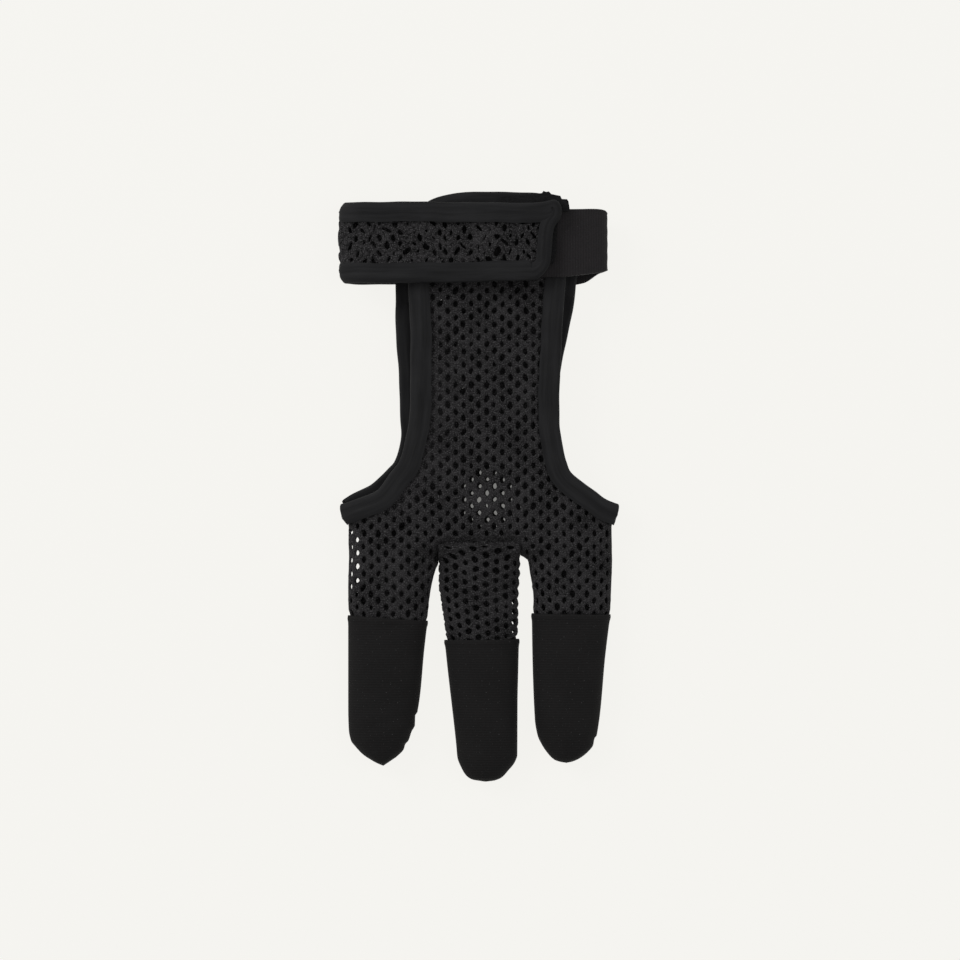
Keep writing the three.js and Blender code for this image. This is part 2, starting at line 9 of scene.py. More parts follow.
import bmesh
import bpy
import numpy as np
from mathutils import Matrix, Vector


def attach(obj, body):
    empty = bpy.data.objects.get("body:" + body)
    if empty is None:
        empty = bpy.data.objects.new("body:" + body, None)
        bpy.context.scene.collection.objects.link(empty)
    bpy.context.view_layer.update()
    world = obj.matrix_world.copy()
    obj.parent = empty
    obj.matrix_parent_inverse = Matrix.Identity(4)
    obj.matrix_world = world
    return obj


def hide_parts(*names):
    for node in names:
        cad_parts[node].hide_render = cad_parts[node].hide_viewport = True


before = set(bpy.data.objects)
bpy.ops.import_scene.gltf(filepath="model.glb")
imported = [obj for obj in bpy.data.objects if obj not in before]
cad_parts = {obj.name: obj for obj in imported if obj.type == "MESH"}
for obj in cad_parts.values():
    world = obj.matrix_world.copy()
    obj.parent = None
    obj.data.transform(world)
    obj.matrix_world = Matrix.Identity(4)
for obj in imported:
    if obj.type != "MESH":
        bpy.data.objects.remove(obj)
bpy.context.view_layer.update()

bl_info = {
    "name": "Archery Glove",
    "version": (1, 0, 0),
    "blender": (4, 5, 0),
    "location": "View3D > Sidebar > Glove",
    "description": "Three-finger archery glove of knitted net with bound edges and a wrist strap",
    "category": "Add Mesh",
}

MM = 0.001

# Body of the glove
HAND_SHIFT = 0.4  # middle of the hand, right of the middle of the part
SEAM_HEIGHT = 5.2  # side seams above the table
FINGER_RISE = 6.4  # backs of the fingers above their side seams
PALM_SQUARE = 4.0  # squareness of the palm's section, where 2 is an ellipse
FINGER_SQUARE = 2.2
LAP_DROP = 1.3  # palm below the side seams where it lies on the strap
BAND_FOOT = 72.6  # reach at which the strap's lower edge lies under the palm
PALM_RAMP = (7.0, 1.3)  # where the palm starts and ends its rise onto the strap, below that
PALM_TOP = 93.1  # reach of the palm's end at the wrist
MIDDLE_SEAM = -19.5  # where the middle finger's net is sewn to the hand
SEAM_DIP = 1.7  # how far that seam draws the cloth in
BLEND = 8  # order of the power mean that joins the sections of hand and fingers
FINGERS_DIE = (-18.5, -13.0)  # reach over which the fingers' sections die out in the hand
WEB_LOW = (0.97, -25.0, -37.0)  # a finger's height at the web, growing to 1 between these reaches

# Sections of the hand, from the webs to the neck: reach, half width, rise, drop, squareness
HAND_ROWS = (
    (-26.6, 47.3, 0.0, 0.0, 2.6),
    (-25.6, 47.3, 2.9, 1.9, 2.6),
    (-24.1, 47.3, 5.5, 3.5, 2.6),
    (-20.6, 47.4, 7.6, 4.9, 2.6),
    (-15.0, 47.3, 7.5, 4.6, 2.6),
    (-7.5, 49.2, 7.4, 4.3, 2.8),
    (1.1, 47.1, 7.3, 4.0, 3.1),
    (12.7, 42.8, 7.25, 3.9, 4.0),
    (31.7, 40.9, 7.2, 3.8, 5.0),
    (110.0, 40.9, 7.2, 3.8, 6.0),
)

# Sides of the fingers' nets, from inside the stall to the hand: reach, left, right
FINGERS = {
    "index": ((-52.0, -46.6, -18.7), (-47.0, -46.8, -18.3), (-43.3, -47.0, -18.0), (-36.3, -47.1, -17.0),
              (-31.5, -47.0, -15.9), (-29.2, -46.9, -15.1), (-28.2, -46.9, -14.5), (-25.6, -46.8, -14.5),
              (-17.6, -46.8, -14.4)),
    "middle": ((-60.0, -11.4, 13.9), (-54.5, -12.0, 14.1), (-47.4, -12.9, 14.3), (-43.3, -13.6, 14.3),
               (-39.2, -14.1, 14.4), (-36.3, -14.6, 14.5), (-31.0, -14.7, 14.8), (-25.6, -14.8, 14.9),
               (-17.6, -14.8, 14.9)),
    "ring": ((-50.0, 19.2, 46.9), (-46.0, 19.1, 47.2), (-41.0, 19.4, 47.4), (-36.3, 19.1, 47.6),
             (-31.0, 18.1, 47.8), (-27.4, 17.6, 47.9), (-26.2, 17.1, 47.9), (-25.3, 15.4, 47.9),
             (-24.6, 14.6, 47.9), (-17.6, 14.4, 48.0)),
}
LEFT_WEB, RIGHT_WEB = -14.5, 14.6  # place across of the two webs
CLOTH_SPLIT = (-26.5, -18.0)  # reach over which the cloth parts into the fingers
EDGE_SPLIT = (-26.0, -19.0)  # the same for its outer edges
TABLE_STEP = 0.5  # reach between two rows of a face's or a tube's table
FACE_COLUMNS, TUBE_COLUMNS = 64, 241

# Camera: height over the table, width of the picture there, and place over the glove
EYE_HEIGHT = 1600.0
VIEW_WIDTH = 345.6
VIEW_CENTRE = (0.36, 2.16)
SENSOR = 36.0

# Stage: floor in metres, its glow in the open and its lowered glow as a painted shadow under the palm,
# the room's light, and the lamps' places and sizes in metres and powers in watts
FLOOR_SIZE = 12.0
FLOOR_GLOW, PAINTED_SHADOW_GLOW = 0.965, 0.2123
SKY_STRENGTH = 0.42
LAMPS = (
    ("lamp_left", (-1.3, 0.9, 1.0), 0.9, 16.0),
    ("lamp_right", (1.2, 0.2, 1.2), 1.2, 6.0),
)

# Free edges seen from above, from the side seam up to the wrist: reach, left, right
BACK_EDGE = (
    (-6.6, -48.6, 49.2),
    (-4.6, -42.6, 44.7),
    (-2.1, -36.9, 41.4),
    (0.5, -34.3, 37.8),
    (4.5, -31.6, 32.9),
    (8.5, -28.4, 31.2),
    (12.7, -26.8, 30.0),
    (18.0, -25.7, 29.0),
    (23.8, -24.7, 28.4),
    (38.1, -24.2, 28.7),
    (52.9, -24.2, 29.3),
    (72.0, -24.9, 30.6),
    (89.2, -24.6, 30.9),
    (96.5, -22.6, 30.2),
    (101.2, -18.5, 27.8),
    (103.9, -11.2, 22.8),
    (104.7, -2.9, 15.0),
)
PALM_EDGE = (
    (-5.3, -49.0, 45.5),
    (-3.2, -45.7, 42.1),
    (-1.3, -41.9, 39.5),
    (0.4, -38.6, 36.7),
    (3.4, -34.9, 33.3),
    (6.3, -32.1, 31.5),
    (8.5, -30.2, 30.5),
    (12.7, -28.6, 29.3),
    (18.0, -27.8, 28.3),
    (23.8, -28.0, 27.8),
    (38.1, -28.4, 28.5),
    (52.9, -29.5, 31.3),
    (72.4, -29.7, 34.6),
    (100.0, -29.7, 34.6),
)

# Fingertip stalls: corners of the outline seen from above, across and along, from the mouth down
STALLS = {
    "index": {
        "left": ((-47.1, -46.5), (-47.1, -80.0), (-46.9, -87.5), (-46.1, -91.6), (-44.4, -93.9),
                 (-41.8, -96.6), (-38.3, -98.9), (-36.2, -100.0), (-34.6, -100.6)),
        "right": ((-18.5, -48.5), (-19.6, -58.0), (-22.2, -81.6), (-22.9, -82.3), (-23.1, -86.6),
                  (-23.9, -87.6), (-25.6, -92.0), (-26.5, -92.8), (-27.0, -94.6), (-29.6, -97.4),
                  (-31.6, -98.8), (-34.3, -100.6)),
    },
    "middle": {
        "left": ((-12.4, -55.4), (-11.4, -65.0), (-8.2, -93.2), (-7.8, -97.6), (-6.2, -101.7),
                 (-4.8, -104.0), (-2.6, -105.6), (1.4, -106.3)),
        "right": ((14.4, -55.0), (14.1, -68.0), (13.9, -77.0), (13.8, -96.8), (12.9, -99.4),
                  (10.2, -102.8), (8.2, -104.9), (5.6, -106.0), (3.4, -106.3)),
    },
    "ring": {
        "left": ((19.0, -45.8), (19.2, -60.0), (20.1, -84.0), (21.1, -89.8), (22.8, -93.4),
                 (24.9, -96.4), (27.1, -98.5), (29.3, -99.3), (31.4, -99.6)),
        "right": ((47.3, -46.2), (45.6, -60.0), (42.4, -89.8), (41.6, -90.8), (41.1, -93.3),
                  (39.6, -95.3), (36.6, -97.8), (33.6, -99.2), (31.6, -99.6)),
    },
}

# Height of a stall: share of its length, share of the finger's height
STALL_HEIGHT = (
    (0.0, 1.0), (0.36, 0.98), (0.66, 0.94), (0.82, 0.88), (0.91, 0.76), (0.97, 0.54), (1.0, 0.2),
)

# Wrist strap, from its free end over the back, round the left side and under the palm to its
# join: across, drift along, height
STRAP_ROUTE = (
    (24.8, 1.0, 18.3),
    (13.6, 0.66, 18.3),
    (-1.8, 0.25, 17.8),
    (-21.5, 0.0, 16.1),
    (-37.4, 0.0, 15.2),
    (-45.6, 0.0, 12.2),
    (-49.0, 0.0, 8.8),
    (-45.6, 0.0, 4.7),
    (-40.2, 0.0, 2.6),
    (-34.3, 0.0, 1.85),
    (-24.5, 0.0, 1.8),
    (0.0, 0.0, 1.8),
    (20.0, 0.0, 1.8),
)
STRAP_FOOT, STRAP_WIDTH = 72.75, 28.3
STRAP_TAPE_LESS = 0.5  # its tape is this much narrower than the others
STRAP_END_TAPE = 4.9  # width of its tape on the free end
# Edge of the strap's free end, from its lower edge up: length from the end, place across the strap
STRAP_END = (
    (5.6, 0.0), (4.2, 0.35), (2.7, 1.6), (0.9, 3.6), (-0.4, 6.2), (-0.9, 11.4), (-1.3, 16.2),
    (-2.0, 18.9), (-3.9, 21.8), (-4.2, 24.8), (-3.5, 26.8), (-1.8, 27.9), (0.8, 27.4), (5.0, 27.0),
)

# Elastic band, from under the strap's free end round the right side to the palm: across,
# height, lower edge, upper edge
ELASTIC_ROUTE = (
    (3.0, 14.6, 74.4, 98.6),
    (28.3, 14.6, 74.6, 98.7),
    (36.0, 14.0, 75.3, 98.8),
    (41.0, 12.6, 76.0, 98.9),
    (44.0, 10.8, 76.6, 98.8),
    (45.4, 8.1, 77.1, 97.6),
    (43.5, 3.9, 76.4, 96.6),
    (37.4, 2.0, 73.0, 96.4),
    (32.0, 1.8, 72.2, 96.2),
    (18.0, 1.8, 73.3, 96.6),
)

# Outline of the hook tape, cut raggedly at its upper right corner: across, along
HOOK_OUTLINE = (
    (7.9, 78.2), (24.2, 78.2), (26.4, 79.2), (27.4, 81.8), (27.8, 90.0), (28.4, 97.6), (32.0, 98.0),
    (32.3, 98.9), (31.9, 101.4), (31.4, 102.2), (29.5, 102.3), (29.0, 103.4), (27.5, 103.7),
    (25.7, 104.1), (24.9, 105.0), (23.9, 104.8), (23.0, 105.2), (22.4, 104.4), (7.9, 103.0),
)
HOOK_FOOT, HOOK_THICKNESS = 15.5, 1.0

# Spot where the gaps of both panels lie in line, whose middle is also the middle of the painted shadow
# on the floor: across, along, radius, how nearly they line up
SPOT_ACROSS, SPOT_ALONG, SPOT_RADIUS, SPOT_MOST = 1.6, -4.0, 11.5, 0.93

# Net: how far its cells stay inside a bound edge and the strap's tapes
NET_INSIDE, STRAP_INSIDE = 2.7, 3.0
# Lift of a rib's knots, of its flank and of the lip round a gap
KNOT, FLANK, LIP = 0.06, -0.04, -0.42
FLANK_SHARE = 0.52  # the flank's place between the rib and the lip
GAP_LEAST, GAP_MOST = 0.32, 1.25  # how small and how large a gap's share of its size may be
GAP_WANDER = 0.12  # how far a gap strays from the middle of its cell
TRIMMED = -0.15  # lift of points on the piece's own edge


def length(name, description, millimetres):
    """A length that a user would change."""
    return bpy.props.FloatProperty(
        name=name, description=description, default=millimetres * MM, unit="LENGTH")


def linear(code):
    """Linear colour of an sRGB hex value."""
    parts = [((code >> shift) & 255) / 255 for shift in (16, 8, 0)]
    return [c / 12.92 if c <= 0.04045 else ((c + 0.055) / 1.055) ** 2.4 for c in parts]


def colour(name, description, code):
    """A colour that a user would change."""
    return bpy.props.FloatVectorProperty(
        name=name, description=description, subtype="COLOR", default=linear(code))


class GloveSizes(bpy.types.PropertyGroup):
    """Sizes that a user would change."""

    net_column: length("Net column", "Between neighbouring columns of gaps in the net", 2.77)
    net_row: length("Net row", "Between two gaps in one column of the net", 4.82)
    gap_width: length("Gap width", "Width of a gap in the net", 1.78)
    gap_length: length("Gap length", "Length of a gap in the net", 2.42)
    net_thickness: length("Net thickness", "Thickness of the knitted net", 0.8)
    tape_width: length("Tape width", "Width of the folded tape on one face", 7.2)
    tape_thickness: length("Tape thickness", "Thickness of one layer of the tape", 0.7)
    stall_thickness: length("Stall thickness", "Thickness of the fingertip cloth", 0.9)
    elastic_thickness: length("Elastic thickness", "Thickness of the elastic band", 1.1)


class GloveColours(bpy.types.PropertyGroup):
    """Colours that a user would change."""

    net: colour("Net", "Knitted net", 0x252425)
    tape: colour("Tape", "Edge tape", 0x1F1F20)
    stall: colour("Stall", "Fingertip cloth", 0x191818)
    elastic: colour("Elastic", "Elastic band", 0x242223)
    hook: colour("Hook", "Hook tape", 0x111112)
    floor: colour("Floor", "Pale floor", 0xF4F3EF)


def sizes():
    """The sizes of the property group in millimetres."""
    group = bpy.context.scene.glove_sizes
    return {name: getattr(group, name) / MM for name in GloveSizes.__annotations__}


# Curves and sections


def smooth_curve(xs, ys):
    """A curve through points that never overshoots them."""
    xs, ys = np.array(xs, float), np.array(ys, float)
    steps = np.diff(xs)
    slopes = np.diff(ys) / steps
    tangents = np.zeros_like(ys)
    same = slopes[:-1] * slopes[1:] > 0
    tangents[1:-1][same] = 2 * slopes[:-1][same] * slopes[1:][same] / (slopes[:-1] + slopes[1:])[same]
    tangents[0], tangents[-1] = slopes[0], slopes[-1]

    def at(x):
        x = np.clip(x, xs[0], xs[-1])
        i = np.clip(np.searchsorted(xs, x, side="right") - 1, 0, len(steps) - 1)
        s, h = (x - xs[i]) / steps[i], steps[i]
        start = (1 + 2 * s) * (1 - s) ** 2 * ys[i] + s * (1 - s) ** 2 * h * tangents[i]
        return start + s * s * (3 - 2 * s) * ys[i + 1] + s * s * (s - 1) * h * tangents[i + 1]

    return at


def fade(low, high, x):
    """Rises smoothly from 0 at low to 1 at high."""
    s = np.clip((np.asarray(x, float) - low) / (high - low), 0, 1)
    return s * s * (3 - 2 * s)


def spline(points, step):
    """A smooth line through points, with new points about one step apart."""
    p = np.array(points, float)
    p = np.vstack([2 * p[0] - p[1], p, 2 * p[-1] - p[-2]])
    fine = []
    for a, b, c, d in zip(p, p[1:], p[2:], p[3:]):
        s = np.linspace(0, 1, 24, endpoint=False)[:, None]
        fine.append(0.5 * (2 * b + (c - a) * s + (2 * a - 5 * b + 4 * c - d) * s ** 2
                           + (3 * b - a - 3 * c + d) * s ** 3))
    return respace(np.vstack([*fine, p[-2]]), step)


def lengths_along(points):
    """Length from a line's first point to each of its points."""
    gaps = np.linalg.norm(np.diff(points, axis=0), axis=1)
    return np.concatenate([[0], np.cumsum(gaps)])


def respace(points, step):
    """The same line with its points about one step apart."""
    along = lengths_along(points)
    at = np.linspace(0, along[-1], max(2, int(round(along[-1] / step)) + 1))
    return np.column_stack([np.interp(at, along, column) for column in points.T])


reaches, *hand_columns = np.array(HAND_ROWS).T
hand_half, hand_rise, hand_drop, hand_square = (smooth_curve(reaches, c) for c in hand_columns)


def palm_drop(y):
    """How far the palm lies below the side seams."""
    lap = fade(BAND_FOOT - PALM_RAMP[0], BAND_FOOT - PALM_RAMP[1], y)
    return hand_drop(y) * (1 - lap) + LAP_DROP * lap


def finger_line(name):
    """Middle and half width of a finger's net at a reach y."""
    ys, left, right = np.array(FINGERS[name]).T
    left, right = smooth_curve(ys, left), smooth_curve(ys, right)
    return lambda y: (left(y) + right(y)) / 2, lambda y: (right(y) - left(y)) / 2


finger_lines = {name: finger_line(name) for name in FINGERS}


def bulge(u, square):
    """Height of a rounded section at a share u of its half width."""
    return np.sqrt(np.clip(1 - np.clip(np.abs(u), 0, 1) ** square, 0, 1))


def height(x, y, sign, names=("index", "middle", "ring")):
    """How far the body's surface lies above the side seams, or below them for sign -1."""
    square = hand_square(y) if sign > 0 else PALM_SQUARE
    swell = hand_rise(y) if sign > 0 else palm_drop(y)
    total = (swell * bulge((x - HAND_SHIFT) / hand_half(y), square)) ** BLEND
    low, start, stop = WEB_LOW
    share = (low + (1 - low) * fade(start, stop, y)) * (1 - fade(*FINGERS_DIE, y))
    for name in names:
        middle, half = finger_lines[name]
        rise = (FINGER_RISE if sign > 0 else SEAM_HEIGHT) * share
        total = total + (rise * bulge((x - middle(y)) / half(y), FINGER_SQUARE)) ** BLEND
    return total ** (1 / BLEND)


def between(table, row, column):
    """A table's values between its rows and columns."""
    i, j = row.astype(int), column.astype(int)
    a, b = row - i, column - j
    near = table[i, j] * (1 - b) + table[i, j + 1] * b
    far = table[i + 1, j] * (1 - b) + table[i + 1, j + 1] * b
    return near * (1 - a) + far * a


def table_rows(ys, y):
    """Place of a reach among a table's rows."""
    return np.clip((y - ys[0]) / TABLE_STEP, 0, len(ys) - 1.001)


def lifted(points, across, along, lift):
    """Points raised over a surface that runs across and along."""
    normal = np.cross(across, along)
    normal /= np.maximum(np.linalg.norm(normal, axis=1, keepdims=True), 1e-9)
    return points + normal * np.asarray(lift)[:, None]


class Face:
    """The back (sign 1) or the palm (sign -1) of the glove, laid out flat.

    A flat point is (t, y). Between the middles of the outer fingers t is the place across. Beyond
    them, and round the sides of the fingers, it is measured along the cloth.
    """

    def __init__(self, sign):
        self.sign = sign
        self.ys = np.arange(-52.0, 108.1, TABLE_STEP)
        self.left_mid, self.left_half = finger_lines["index"]
        self.right_mid, self.right_half = finger_lines["ring"]
        y = self.ys
        wide = fade(*EDGE_SPLIT, y)
        left, right = self.left_mid(y), self.right_mid(y)
        half_left, half_right = self.left_half(y), self.right_half(y)
        outer_left = (left - half_left) * (1 - wide) + (HAND_SHIFT - hand_half(y)) * wide
        outer_right = (right + half_right) * (1 - wide) + (HAND_SHIFT + hand_half(y)) * wide
        self.parts = {
            "outer_left": self.quarter(left, outer_left, "index"),
            "inner_left": self.quarter(left, left + half_left, "index"),
            "inner_right": self.quarter(right, right - half_right, "ring"),
            "outer_right": self.quarter(right, outer_right, "ring"),
        }

    def quarter(self, start, end, finger):
        """Tables of place across, height and cloth length from a finger's middle to its side."""
        fine, settle = 120, 8
        share = np.sin(np.linspace(0, np.pi / 2, fine))
        x = start[:, None] + (end - start)[:, None] * share[None, :]
        y = np.broadcast_to(self.ys[:, None], x.shape)
        z = height(x, y, self.sign, (finger,))
        z = z - z[:, -1:] * share[None, :] ** settle
        steps = np.hypot(np.diff(x, axis=1), np.diff(z, axis=1))
        along = np.concatenate([np.zeros((len(x), 1)), np.cumsum(steps, axis=1)], axis=1)
        wanted = np.linspace(0, 1, FACE_COLUMNS)
        across = np.array([np.interp(wanted * a[-1], a, row) for a, row in zip(along, x)])
        up = np.array([np.interp(wanted * a[-1], a, row) for a, row in zip(along, z)])
        return across, up, along[:, -1]

    def look_up(self, table, y, share):
        """A table's value at a reach and a share of the cloth's length."""
        return between(table, table_rows(self.ys, y), np.clip(share, 0, 1) * (FACE_COLUMNS - 1.001))

    def reach(self, part, y):
        """Cloth length of a part from a finger's middle to its side."""
        return np.interp(y, self.ys, self.parts[part][2])

    def sides(self, y):
        """Flat places of the two side seams."""
        left = self.left_mid(y) - self.reach("outer_left", y)
        return left, self.right_mid(y) + self.reach("outer_right", y)

    def inner_sides(self, y):
        """Flat places of the two edges along the middle finger."""
        split = 1 - fade(*CLOTH_SPLIT, y)
        left = LEFT_WEB * (1 - split) + (self.left_mid(y) + self.reach("inner_left", y)) * split
        right = RIGHT_WEB * (1 - split) + (self.right_mid(y) - self.reach("inner_right", y)) * split
        return left, right

    def surface(self, t, y):
        """Points of the cloth's outer surface at flat places."""
        t, y = np.asarray(t, float), np.asarray(y, float)
        x, z = t.copy(), height(t, y, self.sign)
        left, right = self.left_mid(y), self.right_mid(y)
        split = 1 - fade(*CLOTH_SPLIT, y)
        zones = (
            ("outer_left", t < left, left - t, np.ones_like(t)),
            ("inner_left", (t >= left) & (t < 0), t - left, split),
            ("inner_right", (t <= right) & (t >= 0), right - t, split),
            ("outer_right", t > right, t - right, np.ones_like(t)),
        )
        for part, mask, length, weight in zones:
            if not mask.any():
                continue
            across, up, total = self.parts[part]
            share = length[mask] / np.interp(y[mask], self.ys, total)
            w = weight[mask]
            x[mask] = x[mask] * (1 - w) + self.look_up(across, y[mask], share) * w
            z[mask] = z[mask] * (1 - w) + self.look_up(up, y[mask], share) * w
        z = z - self.seam_dip(x, y)
        return np.column_stack([x, y, SEAM_HEIGHT + self.sign * z])

    def seam_dip(self, x, y):
        """The cloth is drawn in along the seam across the base of the middle finger."""
        inside = fade(LEFT_WEB - 3, LEFT_WEB + 1, x) * (1 - fade(RIGHT_WEB - 1, RIGHT_WEB + 3, x))
        deepest, width = MIDDLE_SEAM - 0.4, 1.3
        return 0.6 * SEAM_DIP * inside * np.exp(-((y - deepest) / width) ** 2)

    def place(self, flat, lift):
        """Points at a height over the cloth's outer surface."""
        t, y = flat[:, 0], flat[:, 1]
        d = 0.15  # half the run over which the slope is taken
        low, high = self.sides(y)
        a, b = np.maximum(t - d, low), np.minimum(t + d, high)
        across = self.surface(b, y) - self.surface(a, y)
        along = self.surface(t, y + d) - self.surface(t, y - d)
        return lifted(self.surface(t, y), across * self.sign, along, lift)

    def flatten(self, x, y):
        """Flat place of a point seen from above."""
        x, y = np.asarray(x, float), np.asarray(y, float)
        low, high = self.sides(y)
        ts = np.linspace(0, 1, 400)
        out = np.empty_like(x)
        for k in range(len(x)):
            t = low[k] + (high[k] - low[k]) * ts
            seen = self.surface(t, np.full_like(t, y[k]))[:, 0]
            out[k] = np.interp(x[k], np.maximum.accumulate(seen), t)
        return out


BACK, PALM = Face(1), Face(-1)


class Tube:
    """The middle finger's net, laid out flat: (length round from the left side over the back, y)."""

    def __init__(self):
        self.ys = np.arange(-64.0, -18.9, TABLE_STEP)
        self.middle, self.half = finger_lines["middle"]
        angle = np.linspace(0, 2 * np.pi, TUBE_COLUMNS)
        c, s = -np.cos(angle), np.sin(angle)
        across, up, total = [], [], []
        for y in self.ys:
            x = self.middle(y) + np.sign(c) * np.abs(c) ** (2 / FINGER_SQUARE) * self.half(y)
            both = [sign * height(x, np.full_like(x, y), sign, ("middle",)) for sign in (1, -1)]
            z = np.where(s >= 0, both[0], both[1])
            z = np.where(np.abs(np.abs(c) - 1) < 1e-6, 0.0, z)
            dip = SEAM_DIP * np.exp(-((y - MIDDLE_SEAM) / 1.5) ** 2)
            z = z - np.sign(z) * np.minimum(dip, np.abs(z))
            along = lengths_along(np.column_stack([x, z]))
            wanted = np.linspace(0, along[-1], TUBE_COLUMNS)
            across.append(np.interp(wanted, along, x))
            up.append(np.interp(wanted, along, z))
            total.append(along[-1])
        self.across, self.up = np.array(across), np.array(up)
        half_way = -40.0
        self.round = float(np.interp(half_way, self.ys, total))

    def surface(self, flat):
        """Points of the cloth's outer surface at flat places."""
        row = table_rows(self.ys, flat[:, 1])
        column = (flat[:, 0] / self.round) % 1.0 * (TUBE_COLUMNS - 1.001)
        x, z = between(self.across, row, column), between(self.up, row, column)
        return np.column_stack([x, flat[:, 1], SEAM_HEIGHT + z])

    def place(self, flat, lift):
        """Points at a height over the cloth's outer surface."""
        d = 0.2  # half the run over which the slope is taken
        round_it, along_it = np.array([d, 0.0]), np.array([0.0, d])
        across = self.surface(flat + round_it) - self.surface(flat - round_it)
        along = self.surface(flat + along_it) - self.surface(flat - along_it)
        return lifted(self.surface(flat), across, along, lift)


class Band:
    """A strap laid out flat: (length from its first end, place across from its lower edge)."""

    def __init__(self, route, foot):
        self.line = spline(np.array(route, float)[:, [0, 2, 1]], 0.5)
        self.along = lengths_along(self.line[:, :2])
        self.length = self.along[-1]
        self.foot = foot
        self.turn = self.along[np.argmax(np.abs(self.line[:, 0]))]

    def at(self, s):
        """Place across, height and drift at a length along the band."""
        return np.array([np.interp(s, self.along, column) for column in self.line.T])

    def place(self, flat, lift):
        """Points at a height over the band's middle."""
        s = flat[:, 0]
        d = 0.6  # half the run over which the slope is taken
        inside = np.clip(s, d, self.length - d)
        ahead = (self.at(inside + d) - self.at(inside - d))[:2]
        ahead = ahead / np.maximum(np.hypot(*ahead), 1e-9)
        beyond = np.minimum(s, 0) + np.maximum(s - self.length, 0)
        x, z, drift = self.at(s)
        x, z = x + ahead[0] * beyond, z + ahead[1] * beyond
        points = np.column_stack([x, self.foot + drift + flat[:, 1], z])
        normal = np.column_stack([ahead[1], np.zeros_like(s), -ahead[0]])
        return points + normal * np.asarray(lift)[:, None]


# Meshes


def new_piece(name, points, faces, flat=None):
    """An object at the origin from points in millimetres, with its flat layout as UV map in mm."""
    mesh = bpy.data.meshes.new(name)
    mesh.from_pydata([tuple(p) for p in np.asarray(points) * MM], [], [tuple(f) for f in faces])
    mesh.validate()
    if flat is not None:
        layer = mesh.uv_layers.new(name="flat")
        index = np.empty(len(mesh.loops), int)
        mesh.loops.foreach_get("vertex_index", index)
        layer.data.foreach_set("uv", np.asarray(flat, float)[index].ravel())
    piece = bpy.data.objects.new(name, mesh)
    bpy.context.scene.collection.objects.link(piece)
    return piece


def choose(piece):
    """Selects a piece alone and makes it active."""
    bpy.ops.object.select_all(action="DESELECT")
    piece.select_set(True)
    bpy.context.view_layer.objects.active = piece


def walled(outer, inner, faces):
    """Points and faces of a closed wall between an outer and an inner layer."""
    count = len(outer)
    sides = {}
    for face in faces:
        for a, b in zip(face, face[1:] + face[:1]):
            if sides.pop((b, a), None) is None:
                sides[(a, b)] = True
    both = list(faces) + [tuple(v + count for v in reversed(face)) for face in faces]
    both += [(b, a, a + count, b + count) for a, b in sides]
    return np.vstack([outer, inner]), both


def thicken(piece, thickness, offset=-1.0):
    """Gives a piece its wall, inwards from its faces or, with offset 0, to both sides."""
    choose(piece)
    wall = piece.modifiers.new("wall", "SOLIDIFY")
    wall.thickness = thickness * MM
    wall.offset = offset
    bpy.ops.object.modifier_apply(modifier=wall.name)


def tidy(piece, angle):
    """Merged doubles, no slivers, and smooth shading up to an angle."""
    choose(piece)
    least = 0.01 * MM
    bpy.ops.object.mode_set(mode="EDIT")
    bpy.ops.mesh.select_all(action="SELECT")
    bpy.ops.mesh.remove_doubles(threshold=least)
    bpy.ops.mesh.dissolve_degenerate(threshold=least)
    bpy.ops.object.mode_set(mode="OBJECT")
    bpy.ops.object.shade_smooth_by_angle(angle=math.radians(angle))


def ripple(x, y, seed):
    """Soft unevenness between about -1 and 1 that changes over a few millimetres."""
    rng = np.random.default_rng(seed)
    total = np.zeros_like(np.asarray(x, float))
    for size in (5.0, 8.0, 13.0, 21.0):
        turn, phase = rng.uniform(0, 2 * np.pi, 2)
        total += np.sin((np.cos(turn) * x + np.sin(turn) * y) * 2 * np.pi / size + phase)
    return total / 2.6


def eight_corners(d):
    """Corners of a diamond whose sides are pushed out to d."""
    return np.array([(1, 0), (d, d), (0, 1), (-d, d), (-1, 0), (-d, -d), (0, -1), (d, -d)])


RIM, GAP = eight_corners(0.5), eight_corners(0.66)


